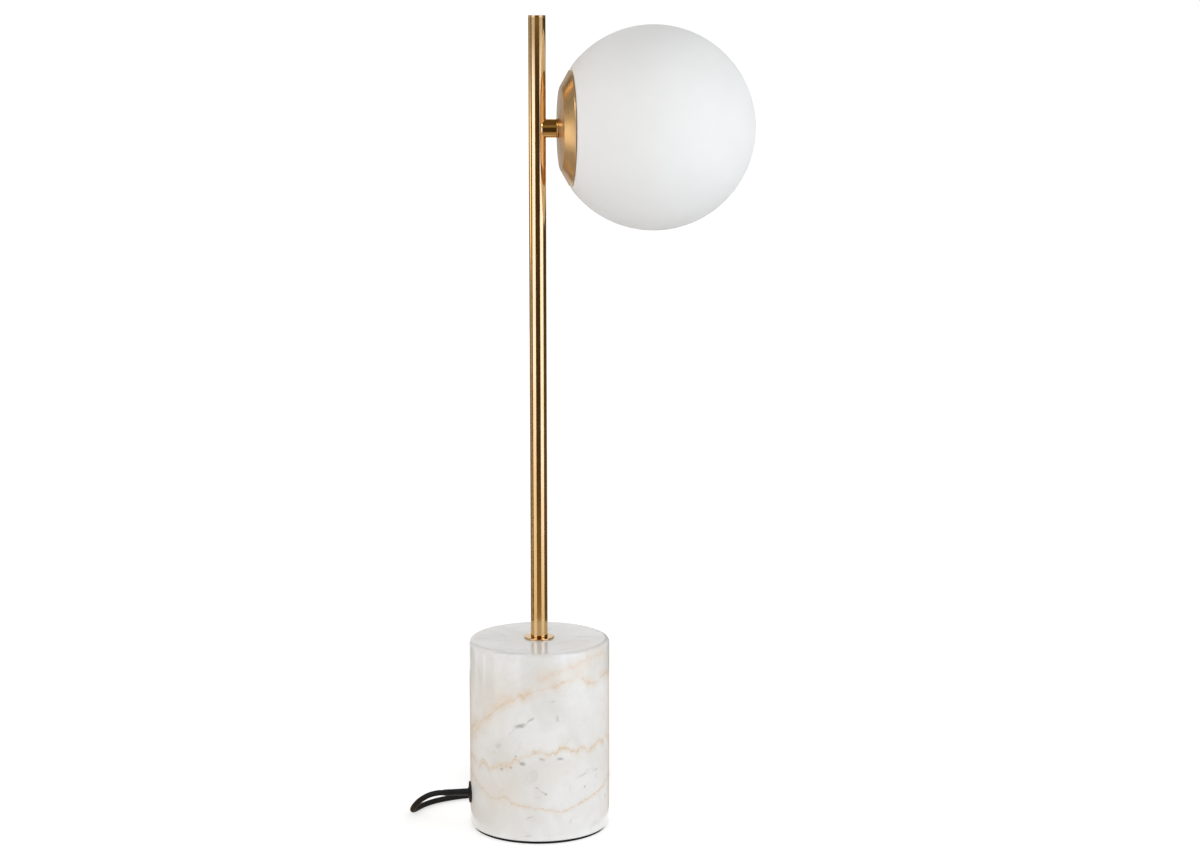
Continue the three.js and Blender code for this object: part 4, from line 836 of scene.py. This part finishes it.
zinc_steel = plated("zinc_steel", (0.62, 0.63, 0.64), (0.48, 0.49, 0.5), 0.3, 0.46)
nickel = plated("nickel", (0.68, 0.66, 0.62), (0.58, 0.56, 0.52), 0.16, 0.26, 90.0)
white_plastic = moulded("white_plastic", (0.78, 0.77, 0.73), (0.7, 0.69, 0.64), 0.35, 0.48, 90.0, 1200.0)
for node, edge in (
    ("base_nipple", fine_edge), ("base_washer", fine_edge), ("base_lock_washer", faint_edge),
    ("base_nut", soft_edge),
):
    seat(smoothed(node, edge), zinc_steel, "zinc_steel", node)
seat(smoothed("terminal_block", soft_edge), white_plastic, "white_plastic", "terminal_block")
for node in ("terminal_screw_1", "terminal_screw_2"):
    seat(smoothed(node, faint_edge), nickel, "nickel", node)


# Cord tail and leads
# Inside the drum the cord runs from the gland down to the terminals. From there a brown and a blue lead,
# each in its own soft jacket, climb the pole side by side and turn along the arm to the lampholder.
tail_start, tail_end, tail_drop, tail_step = -0.0236, 0.0052, 0.0172, 0.0008
tail_fall = np.array([0, 0.02, 0.12, 0.3, 0.5, 0.7, 0.88, 0.98, 1])
tail_along = np.linspace(tail_start, tail_end, len(tail_fall))
tail_points = np.stack([tail_along, 0 * tail_fall, gland_height - tail_drop * tail_fall], axis=1)
tail_path = even_steps(smooth_route(tail_points), tail_step)
tail = tube_along("tail_in_drum", tail_path, cord_radius, level=(0, 1, 0))
seat(tail, cord_jacket, "cord_jacket", "cord_tail")
wire_radius, wire_step = 0.0008, 0.0012
wire_points = np.array(
    [
        (9.25, 4, 13.6), (9.25, 4, 18.08), (5.55, 2.53, 22.55), (0.93, 1.05, 29.26), (0, 1.05, 35.5),
        (0, 1.05, 137.6), (0, 1.05, 318.4), (0, 1.05, 487.2), (0, 1.05, 493.2), (1.76, 1.05, 497.44),
        (6, 1.05, 499.2), (12, 1.05, 499.2), (24.22, 1.05, 499.2),
    ]
) / 1000
for name, node, side, colour, worn in (
    ("brown_insulation", "live_lead", 1, (0.13, 0.055, 0.022), (0.2, 0.1, 0.05)),
    ("blue_insulation", "neutral_lead", -1, (0.02, 0.1, 0.36), (0.06, 0.17, 0.45)),
):
    wire_path = even_steps(smooth_route(wire_points * (1, side, 1)), wire_step)
    wire = tube_along(node + "_wire", wire_path, wire_radius, sides=12, level=(0, 1, 0))
    seat(wire, moulded(name, colour, worn, 0.3, 0.42, 150.0, 2600.0, 0.00001), name, node)


# Cup's clamp, clips and lampholder bracket
# A nut on the arm's hollow rod holds the cup and a steel disc. Three bent springs riveted to the disc grip
# the globe's neck from inside, and a strap screwed to it carries the lampholder.
for node, edge in (
    ("arm_nipple", fine_edge), ("cup_spacer", faint_edge), ("arm_nut", nut_edge),
    ("holder_bracket", sheet_edge), ("bracket_screw_1", fine_edge), ("bracket_screw_2", fine_edge),
    ("clip_rivet_1", fine_edge), ("clip_rivet_2", fine_edge), ("clip_rivet_3", fine_edge),
):
    seat(smoothed(node, edge), zinc_steel, "zinc_steel", node)
plate_back, plate_front, plate_radius = 0.01677, 0.01777, 0.02399
plate_outline = rounded(
    [(plate_back, pole_bore), (plate_back, plate_radius), (plate_front, plate_radius),
     (plate_front, pole_bore)],
    [0, 0.0002, 0.0003, 0],
    steps=4,
)
plate = turned_about_arm("clip_disc", plate_outline, 128)
seat(plate, zinc_steel, "zinc_steel", "clip_plate")
spring_steel = plated("spring_steel", (0.42, 0.41, 0.4), (0.33, 0.32, 0.33), 0.24, 0.38, 110.0, 1800.0)
for node in ("spring_clip_1", "spring_clip_2", "spring_clip_3"):
    seat(smoothed(node, sheet_edge), spring_steel, "spring_steel", node)


# Lampholder
# The holder is one pressed ceramic body, cream white and unglazed, with a stepped nose and two slots that
# take the bulb's pins. Its screws bite into the strap behind it.
holder_back, holder_face = 0.02452, 0.04052
skirt_end, nose_start = 0.03272, 0.03352
skirt_radius, nose_radius = 0.0105, 0.0092
slot_size, pin_offset = (0.023, 0.0048, 0.0024), 0.0045
holder_outline = rounded(
    [
        (holder_back, 0),
        (holder_back, skirt_radius),
        (skirt_end, skirt_radius),
        (nose_start, nose_radius),
        (holder_face, nose_radius),
        (holder_face, 0),
    ],
    [0, 0.0006, 0.0003, 0.0003, 0.0009, 0],
    steps=6,
)
holder = turned_about_arm("ceramic_holder", holder_outline, closed=False)


def plain(name, points, faces):
    """An object of plain flat faces between its points."""
    mesh = bpy.data.meshes.new(name)
    mesh.from_pydata(np.asarray(points, float).tolist(), [], np.asarray(faces).tolist())
    return in_scene(name, mesh)


def block_tool(name, size, middle):
    """A square-cornered block about a middle point, used to cut a slot or a well."""
    corners = np.array([(x, y, z) for x in (-0.5, 0.5) for y in (-0.5, 0.5) for z in (-0.5, 0.5)])
    sides = [(0, 1, 3, 2), (4, 6, 7, 5), (0, 4, 5, 1), (2, 3, 7, 6), (0, 2, 6, 4), (1, 5, 7, 3)]
    return plain(name, corners * size + middle, sides)


for side in (-1, 1):
    holder = carved(holder, block_tool("pin_slot", slot_size, (holder_face, side * pin_offset, arm_height)))
ceramic = moulded("ceramic", (0.8, 0.78, 0.71), (0.7, 0.67, 0.6), 0.45, 0.62, 110.0, 1500.0, 0.00006)
seat(holder, ceramic, "ceramic", "lampholder")


# Capsule bulb
# A small plug-in bulb: a frosted plastic capsule on a square-shouldered foot, with two flat wire loops for
# pins. It pushes straight into the holder.
cover_start, cover_shoulder, cover_end = 0.04992, 0.05292, 0.08592
cover_radius, cover_neck = 0.008, 0.0065
pin_root, pin_bend, pin_half_width, pin_wire = 0.04062, 0.03272, 0.00145, 0.00055
cover_outline = rounded(
    [
        (cover_start, 0),
        (cover_start, cover_neck),
        (cover_shoulder, cover_radius),
        (cover_end, cover_radius),
        (cover_end, 0),
    ],
    [0, 0.0003, 0.0015, 0.00795, 0],
    steps=24,
)
cover = turned_about_arm("capsule", cover_outline, closed=False)
opal_plastic = clouded(
    "opal_plastic", (0.86, 0.86, 0.82), (0.9, 0.9, 0.87), 0.34, 0.46, 120.0, 3200.0, 0.000008,
    strength=0.4, IOR=1.49,
)[0]
seat(cover, opal_plastic, "opal_plastic", "bulb_cover", body="bulb")
seat(smoothed("bulb_foot", soft_edge), white_plastic, "white_plastic", "bulb_foot", body="bulb")
for side, node in ((-1, "bulb_pin_1"), (1, "bulb_pin_2")):
    bend = np.linspace(-np.pi / 2, -np.pi * 1.5, 24)
    along, across = pin_bend + pin_half_width * np.cos(bend), pin_half_width * np.sin(bend)
    along = np.concatenate([[pin_root], along, [pin_root]])
    across = np.concatenate([[-pin_half_width], across, [pin_half_width]])
    loop = np.stack([along, across + side * pin_offset, np.full(len(along), arm_height)], axis=1)
    seat(tube_along(node + "_wire", loop, pin_wire, sides=12), nickel, "nickel", node, body="bulb")


# Glass globe and its gasket
# The globe is blown opal glass, etched to a matte finish, with a flat shoulder and a short neck. A clear
# silicone ring round the neck keeps the glass off the cup.
globe_x, globe_radius, glass_wall = 0.081, 0.0712, 0.003
shoulder_x, shoulder_round = 0.02366, 0.0012
neck_outer, neck_inner, neck_end = 0.02949, 0.02649, 0.01846
neck_round, neck_steps = 0.0006, 6
inner_radius = globe_radius - glass_wall
shoulder_drop = globe_x - shoulder_x
outer_edge = math.sqrt(globe_radius**2 - shoulder_drop**2)
outer_from = math.atan2(shoulder_round - shoulder_drop, outer_edge)
inner_to = -math.asin((shoulder_drop - glass_wall) / inner_radius)
neck_outline = rounded(
    [
        (shoulder_x + glass_wall, neck_inner),
        (neck_end, neck_inner),
        (neck_end, neck_outer),
        (shoulder_x, neck_outer),
        (shoulder_x, outer_edge),
    ],
    [neck_round, neck_round, neck_round, neck_round, 0],
    steps=neck_steps,
)


def round_part(radius, start, stop, steps):
    """Part of the globe's half circle: its middle plus the radius times the sine of a turn along the arm,
    and the radius times the cosine away from it."""
    turn = np.linspace(start, stop, steps)
    return np.stack([globe_x + radius * np.sin(turn), radius * np.cos(turn)], axis=1)


globe_outline = np.vstack(
    [
        round_part(globe_radius, outer_from, math.pi / 2, 96),
        round_part(inner_radius, math.pi / 2, inner_to, 72),
        neck_outline[neck_steps + 1:-neck_steps - 1],
        [(shoulder_x, outer_edge - shoulder_round),
         (shoulder_x + shoulder_round / 4, outer_edge - shoulder_round / 3)],
    ]
)
globe_outline[:, 1] = np.maximum(globe_outline[:, 1], 0)
globe = turned_about_arm("globe", globe_outline, 160)
opal, tree, shader, where = clouded(
    "opal_glass", (0.905, 0.905, 0.9), (0.93, 0.93, 0.925), 0.62, 0.7, 28.0, 2600.0, 0.00001,
    strength=0.35, IOR=1.5, Specular_IOR_Level=0.25, Emission_Color=(1.0, 0.99, 0.97, 1),
)
# The inside of the glass has a painted glow, though it is no lamp: it stands in for a little of the room's
# light coming through the milky glass and bouncing about until the inside is nearly as bright as the
# outside.
# The inside is what lies within the inner ball and past the neck.
painted_inner_glow, past_wall, past_shoulder = 0.055, 0.001, 0.002
middle = (globe_x, 0, arm_height)
from_middle = place(tree, "VectorMath", {0: where, 1: middle}, operation="DISTANCE")["Value"]
along_arm = place(tree, "SeparateXYZ", {0: where})[0]
inside = reckoned(tree, "LESS_THAN", from_middle, inner_radius + past_wall)
past_neck = reckoned(tree, "GREATER_THAN", along_arm, shoulder_x + past_shoulder)
painted_glow_inside = reckoned(tree, "MULTIPLY", reckoned(tree, "MULTIPLY", inside, past_neck), painted_inner_glow)
tree.links.new(painted_glow_inside, shader.inputs["Emission Strength"])
seat(globe, opal, "opal_glass", "glass_globe", body="globe")

gasket_back, gasket_front, gasket_inner, gasket_outer = 0.02156, 0.02356, 0.03039, 0.03299
gasket_round = 0.0005
gasket_outline = rounded(
    [(gasket_back, gasket_inner), (gasket_back, gasket_outer), (gasket_front, gasket_outer),
     (gasket_front, gasket_inner)],
    [gasket_round, gasket_round, gasket_round, gasket_round],
)
gasket = turned_about_arm("silicone_ring", gasket_outline, 128)
silicone = moulded("silicone", (0.72, 0.715, 0.69), (0.64, 0.63, 0.6), 0.45, 0.6, 70.0, 1100.0)
seat(gasket, silicone, "silicone", "neck_gasket", body="globe")


# Inline switch
# Two black mouldings, screwed together from below, close round the cord with a short sleeve at each end.
# A rocker with a shallow dip tips about its two trunnions in the upper one.
switch_centre = np.array([0.038, 0.118])
switch_width, switch_length, switch_corner = 0.022, 0.05, 0.007
base_bottom, base_top, base_round = 0.00005, 0.00825, 0.0014
cover_bottom, cover_top, cover_round = 0.00835, 0.01655, 0.0018
parting_edge = 0.0002
sleeve_height, sleeve_reach, sleeve_overlap = 0.0083, 0.005, 0.0012
sleeve_tip, sleeve_root = 0.003, 0.0036
screw_inset, head_well, shank_well = 0.015, (0.0029, 0.00225), (0.0018, 0.00625)
rocker_well, pivot_height = (0.0106, 0.0194, 0.016), 0.01435
bearing_half, bearing_radius = 0.00645, 0.00135
below_switch, above_switch = -0.001, 0.02


def capped(name, grid):
    """A surface over a grid of rings, closed at both ends by fans to the middles of the outer rings."""
    middle = np.broadcast_to(grid.mean(axis=1, keepdims=True), grid.shape)
    return skin(name, np.concatenate([middle[:1], grid, middle[-1:]]))


def housing_half(name, flat, away, edge, columns=24, steps=8):
    """Half of the switch's housing. Its rows go from the parting face to the outer one: a fine chamfer,
    then a round edge, whose inset is the edge times one less the cosine and whose height grows with the
    sine. A row is a ring in plan of four quarter circles of the corner's radius less the inset."""
    bend = np.linspace(0, np.pi / 2, steps)
    sign = 1 if away > flat else -1
    rounding = np.stack([edge * (1 - np.cos(bend)), away - sign * edge * (1 - np.sin(bend))], axis=1)
    rows = np.vstack([[(parting_edge, flat), (0, flat + sign * parting_edge)], rounding])
    quarter = np.linspace(0, np.pi / 2, columns)
    turn = np.concatenate([quarter + np.pi / 2 * k for k in range(4)])[None, :]
    sign_x = np.repeat([1, -1, -1, 1], columns)[None, :]
    sign_y = np.repeat([1, 1, -1, -1], columns)[None, :]
    inset, height = rows[:, :1], rows[:, 1:]
    radius = switch_corner - inset
    x = sign_x * (switch_width / 2 - switch_corner) + radius * np.cos(turn)
    y = sign_y * (switch_length / 2 - switch_corner) + radius * np.sin(turn)
    return capped(name, np.stack([x + switch_centre[0], y + switch_centre[1], height + 0 * turn], axis=-1))


def sleeve_tool(name, low, high):
    """The cord's sleeves at both ends of the housing, as one rod along Y from tip to tip, cut level at the
    parting: radius times cosine across, and radius times sine held between two heights."""
    tip, root = switch_length / 2 + sleeve_reach, switch_length / 2 - sleeve_overlap
    reach = np.array([-tip, -tip, -root, root, tip, tip])[:, None]
    radius = np.array([0.0, sleeve_tip, sleeve_root, sleeve_root, sleeve_tip, 0.0])[:, None]
    turn = full_turn(48)
    height = np.clip(sleeve_height + radius * np.sin(turn), low, high)
    x = switch_centre[0] + radius * np.cos(turn)
    return skin(name, np.stack([x, switch_centre[1] + reach + 0 * turn, height], axis=-1))


def screw_well(middle, radius, top):
    """An upright rod about a point in plan, from below the switch up to a height, used to cut a well."""
    x_middle, y_middle = np.float32(middle)
    outline = [(0, below_switch), (radius, below_switch), (radius, top), (0, top)]
    rod = turned_about_pole("well", outline, 48, closed=False)
    return moved(rod, lambda x, y, z: (x + x_middle, y + y_middle, z))


black_plastic = moulded("black_plastic", (0.012, 0.012, 0.013), (0.03, 0.03, 0.03), 0.34, 0.5, 110.0, 1700.0)
lower_half = housing_half("switch_lower", base_top, base_bottom, base_round)
lower_half = carved(lower_half, sleeve_tool("lower_sleeve", 0.0, base_top), "UNION")
for side in (-1, 1):
    for radius, top in (head_well, shank_well):
        lower_half = carved(lower_half, screw_well(switch_centre + (0, side * screw_inset), radius, top))
upper_half = housing_half("switch_upper", cover_bottom, cover_top, cover_round)
upper_half = carved(upper_half, sleeve_tool("upper_sleeve", cover_bottom, above_switch), "UNION")
upper_half = carved(upper_half, block_tool("rocker_well", rocker_well, (*switch_centre, cover_top)))
bearing = turned_about_arm(
    "bearing",
    [(-bearing_half, 0), (-bearing_half, bearing_radius), (bearing_half, bearing_radius), (bearing_half, 0)],
    32,
    closed=False,
    aside=switch_centre[1],
    height=pivot_height,
    start=switch_centre[0],
)
upper_half = carved(upper_half, bearing)
rocker = smoothed("switch_rocker", soft_edge)
seat(lower_half, black_plastic, "black_plastic", "switch_base")
seat(upper_half, black_plastic, "black_plastic", "switch_cover")
seat(rocker, black_plastic, "black_plastic", "switch_rocker", body="rocker")
for node in ("switch_screw_1", "switch_screw_2"):
    seat(smoothed(node, fine_edge), zinc_steel, "zinc_steel", node)


# Mains plug
# The plug is one black moulding with a flat grip that widens to its face, a ribbed sleeve for the cord,
# and two round plated pins with round tips.
plug_start, plug_y, plug_z = 0.0023, 0.191, 0.00695
sleeve_length, grip_length, pin_length = 0.012, 0.035, 0.019
grip_rear, grip_face, grip_thick = 0.007, 0.01765, 0.0137
grip_shoulder, grip_edge, grip_corner, bend_round = 0.012, 0.0014, 0.0024, 0.009
sleeve_thin, sleeve_thick, rib_depth, sleeve_in_grip = 0.0026, 0.0044, 0.00035, 0.001
plug_pin_radius, plug_pin_aside, pin_seat, pin_clearance, past_face = 0.002, 0.0093, 0.004, 0.0003, 0.003
plug_front = sleeve_length + grip_length


def plug_grip(name, steps=8):
    """The grip: in plan a rectangle that narrows to the rear, stacked in level rows. Near its top and
    bottom a row is drawn in by the edge times one less the cosine of an even turn."""
    bend = np.linspace(0, np.pi / 2, steps)
    drawn_in = grip_edge * (1 - np.cos(bend))
    above = grip_thick / 2 - grip_edge * (1 - np.sin(bend))
    insets = np.concatenate([drawn_in[::-1], drawn_in])
    heights = np.concatenate([-above[::-1], above])
    rear, front = plug_start + sleeve_length, plug_start + sleeve_length + grip_length
    slope = (grip_face - grip_rear) / (front - grip_shoulder - rear)
    aslant = math.hypot(1, slope)
    rings = []
    for inset, height in zip(insets, heights):
        half_rear = grip_rear + inset * (slope - aslant)
        half_face = grip_face - inset
        bent_at = rear + (half_face - grip_rear + inset * aslant) / slope
        side = [(rear + inset, half_rear), (bent_at, half_face), (front - inset, half_face)]
        corners = side + [(x, -y) for x, y in reversed(side)]
        edge = max(grip_corner - inset, 0.0006)
        ring = rounded(corners, [edge, bend_round, edge, edge, bend_round, edge])
        rings.append(np.column_stack([ring[:, 0], ring[:, 1] + plug_y, np.full(len(ring), plug_z + height)]))
    return capped(name, np.stack(rings))


def turned_in_plug(name, outline, sides=48, aside=0.0):
    """A piece turned about the plug's level axis, or one beside it."""
    return turned_about_arm(
        name, outline, sides, closed=False, aside=plug_y + aside, height=plug_z, start=plug_start
    )


rib = np.linspace(0, 1, 49)
ribbed = sleeve_thin + (sleeve_thick - sleeve_thin) * rib - rib_depth * (np.sin(rib * np.pi * 10) > 0.2)
sleeve_end = sleeve_length + sleeve_in_grip
sleeve_outline = np.vstack(
    [(0, 0), np.column_stack([sleeve_length * rib, ribbed]), (sleeve_end, sleeve_thick), (sleeve_end, 0)]
)
plug_body = carved(plug_grip("plug_moulding"), turned_in_plug("plug_sleeve", sleeve_outline, 64), "UNION")
for side, name in ((-1, "pin_1"), (1, "pin_2")):
    aside = side * plug_pin_aside
    root, tip = plug_front - pin_seat, plug_front + pin_length
    socket_end, socket_radius = root - pin_clearance, plug_pin_radius + pin_clearance
    socket_mouth = plug_front + past_face
    socket = [(socket_end, 0), (socket_end, socket_radius), (socket_mouth, socket_radius), (socket_mouth, 0)]
    plug_body = carved(plug_body, turned_in_plug("pin_socket", socket, aside=aside))
    pin_outline = rounded(
        [(root, 0), (root, plug_pin_radius), (tip, plug_pin_radius), (tip, 0)],
        [0, 0.0002, 0.00199, 0],
        steps=12,
    )
    seat(turned_in_plug("round_" + name, pin_outline, aside=aside), nickel, "nickel", "plug_" + name)
seat(plug_body, black_plastic, "black_plastic", "plug_body")


# Floor and backdrop
# The lamp stands on a plain pale sheet that runs past the picture. The sheet glows a little for the eye and
# in reflections, which makes it white, and it keeps the lamp's soft shadow.
floor_half, floor_glow, seen_glow = 60, 0.1, 0.5
floor_corners = [(x * floor_half, y * floor_half, 0) for x, y in ((-1, -1), (1, -1), (1, 1), (-1, 1))]
floor = plain("floor", floor_corners, [(0, 1, 2, 3)])
white = (1, 1, 1, 1)
sheet, tree, shader, where = finish(
    "pale_sheet", Base_Color=(0.8, 0.8, 0.8, 1), Roughness=0.9, Specular_IOR_Level=0.0, Emission_Color=white
)
paths = place(tree, "LightPath")
mirrored = reckoned(tree, "MAXIMUM", paths["Is Glossy Ray"], paths["Is Transmission Ray"])
seen = reckoned(tree, "MAXIMUM", paths["Is Camera Ray"], mirrored)
tree.links.new(ranged(tree, seen, start=floor_glow, stop=seen_glow), shader.inputs["Emission Strength"])
floor.data.materials.append(sheet)

# The room's own light comes mostly from the sides, level with the lamp, and less from above: a plain part
# and a part that goes with the level share of the direction, to the fourth power.
plain_light, level_light, mirrored_light, seen_light = 0.2, 1.62, 0.85, 1.0
world = bpy.data.worlds.new("studio")
bpy.context.scene.world = world
world.use_nodes = True
sky = world.node_tree
paths = place(sky, "LightPath")
mirrored = reckoned(sky, "MAXIMUM", paths["Is Glossy Ray"], paths["Is Transmission Ray"])
rise = place(sky, "SeparateXYZ", {0: place(sky, "TexCoord")["Generated"]})[2]
level_share = reckoned(sky, "SUBTRACT", 1.0, reckoned(sky, "MULTIPLY", rise, rise))
level_share = reckoned(sky, "MULTIPLY", level_share, level_share)
room = reckoned(sky, "ADD", reckoned(sky, "MULTIPLY", level_share, level_light), plain_light)
room = ranged(sky, mirrored, start=room, stop=mirrored_light)
strength = ranged(sky, paths["Is Camera Ray"], start=room, stop=seen_light)
sky.nodes["Background"].inputs["Color"].default_value = white
sky.links.new(strength, sky.nodes["Background"].inputs["Strength"])


# Studio lights
# Two large soft lamps stand left and right of the camera, the right one stronger. The polished tube shows
# them as bright stripes, dimmer near the floor, with dark cloths between and beside them. A lit gap at the
# left brightens the cup's bevel, and a pale wall behind the lamp its back. The stripes, cloths, gap and
# wall are cards of their own, which only reflections see.
lamp_distance, lamp_top_edge, lamp_low, lamp_high = 0.84, 1.2, 0.95, 1.15
card_distance, card_top = 0.45, 1.0


def stage_card(name, points, faces):
    """A card that the camera doesn't see."""
    card = plain(name, points, faces)
    card.visible_camera = False
    return card


def bent_card(name, start, stop, high, distance, low=0.0, columns=24, rows=12):
    """Part of an upright cylinder round the pole, from one bearing to another in degrees. The bearing is
    counted from the camera's side, and grows towards the picture's right."""
    bearing = np.radians(np.linspace(start, stop, columns))[:, None]
    grid = np.zeros((rows, columns, 3))
    grid[:, :, :2] = distance * (np.cos(bearing) * to_camera + np.sin(bearing) * to_picture_right)
    grid[:, :, 2] = np.linspace(low, high, rows)[:, None]
    row, column = np.meshgrid(np.arange(rows - 1), np.arange(columns - 1), indexing="ij")
    corner = row * columns + column
    faces = np.stack([corner, corner + 1, corner + columns + 1, corner + columns], axis=-1)
    return stage_card(name, grid.reshape(-1, 3), faces.reshape(-1, 4))


def flat_cloth(name, near, far, height, columns=48):
    """A level ring round the pole at a height, from one radius to another."""
    turn = full_turn(columns)[0]
    ring = np.stack([np.cos(turn), np.sin(turn), 0 * turn], axis=1)
    first = np.arange(columns)
    after = (first + 1) % columns
    faces = np.stack([first, after, after + columns, first + columns], axis=1)
    return stage_card(name, np.vstack([near * ring, far * ring]) + (0, 0, height), faces)


def glowing(card, power, stops):
    """Gives a card a glow of one power at most, whose colour follows [height in metres, colour] stops."""
    material, tree, shader, where = finish(card.name)
    height = place(tree, "SeparateXYZ", {0: where})[2]
    ramp = place(tree, "ValToRGB", {0: height})[0]
    band = ramp.node.color_ramp.elements
    band[0].position, band[-1].position = stops[0][0], stops[-1][0]
    band[0].color, band[-1].color = (*stops[0][1], 1), (*stops[-1][1], 1)
    for level, colour in stops[1:-1]:
        band.new(level).color = (*colour, 1)
    glow = place(tree, "Emission", {"Color": ramp, "Strength": power})[0]
    tree.links.new(glow, tree.nodes["Material Output"].inputs["Surface"])
    card.data.materials.append(material)


def only_mirrored(card, power, stops):
    """Makes a glowing card one that only reflections see."""
    card.visible_diffuse = False
    card.visible_transmission = False
    card.visible_shadow = False
    glowing(card, power, stops)


for name, start, stop, tone, power in (
    ("left_lamp", -76, -32, (1.0, 0.92, 0.81), 0.68),
    ("right_lamp", 28, 70, (0.93, 0.975, 1.0), 1.14),
):
    lamp_card = bent_card(name, start, stop, lamp_top_edge, lamp_distance)
    lamp_card.visible_glossy = False
    low_tone, high_tone = ([share * part for part in tone] for share in (lamp_low, lamp_high))
    glowing(lamp_card, power, [(0.0, low_tone), (0.6, tone), (1.0, high_tone)])

stripe_end = [
    (0.6, (0.12, 0.12, 0.14)), (0.7, (0.12, 0.12, 0.14)), (0.78, (1.0, 1.02, 1.05)), (1.0, (1.2, 1.22, 1.25))
]
for name, start, stop, power, stops in (
    ("left_stripe", -72, -29, 5.0, [
        (0.03, (0.19, 0.185, 0.18)), (0.17, (0.24, 0.25, 0.3)), (0.27, (0.31, 0.34, 0.52)),
        (0.54, (0.31, 0.34, 0.52)), *stripe_end,
    ]),
    ("right_stripe", 35, 76, 5.0, [
        (0.03, (0.195, 0.2, 0.21)), (0.17, (0.3, 0.34, 0.52)), (0.54, (0.31, 0.35, 0.54)), *stripe_end,
    ]),
    ("front_cloth", -28, 34, 0.3, [
        (0.0, (0.9, 0.65, 0.33)), (0.16, (0.2, 0.14, 0.06)), (0.56, (0.17, 0.11, 0.05)),
        (0.66, (1.0, 0.8, 0.4)), (0.85, (0.8, 0.62, 0.3)), (1.0, (0.3, 0.2, 0.1)),
    ]),
    ("left_cloth", -93, -73, 0.1, [(0.0, (1.0, 0.7, 0.4)), (0.4, (0.5, 0.35, 0.18))]),
    ("left_gleam", -117, -98, 2.0, [
        (0.2, (0.07, 0.05, 0.03)), (0.35, (0.15, 0.12, 0.07)), (0.41, (0.95, 0.8, 0.54)),
        (0.49, (1.0, 0.86, 0.6)), (0.55, (0.3, 0.24, 0.15)), (0.63, (0.06, 0.05, 0.03)),
    ]),
):
    only_mirrored(bent_card(name, start, stop, card_top, card_distance), power, stops)

wall_tone = (1.0, 0.99, 0.98)
back_wall = bent_card("back_wall", -180, -151, 0.8, card_distance, low=0.3)
only_mirrored(back_wall, 0.5, [(0.0, wall_tone), (1.0, wall_tone)])
for name, start, stop, power, low_tone, high_tone in (
    ("left_back_cloth", -150, -121, 0.1, (1.0, 0.8, 0.5), (0.8, 0.6, 0.35)),
    ("right_cloth", 80, 172, 0.12, (1.0, 0.75, 0.4), (0.6, 0.42, 0.2)),
):
    cloth = bent_card(name, start, stop, card_top, card_distance)
    only_mirrored(cloth, power, [(0.0, low_tone), (0.4, high_tone)])
for name, near, height, power, tone in (
    ("floor_cloth", 0.065, 0.0006, 0.42, (1.0, 0.74, 0.5)),
    ("ceiling_cloth", 0.0, card_top, 0.13, (1.0, 0.68, 0.3)),
):
    only_mirrored(flat_cloth(name, near, card_distance, height), power, [(0.0, tone), (1.0, tone)])
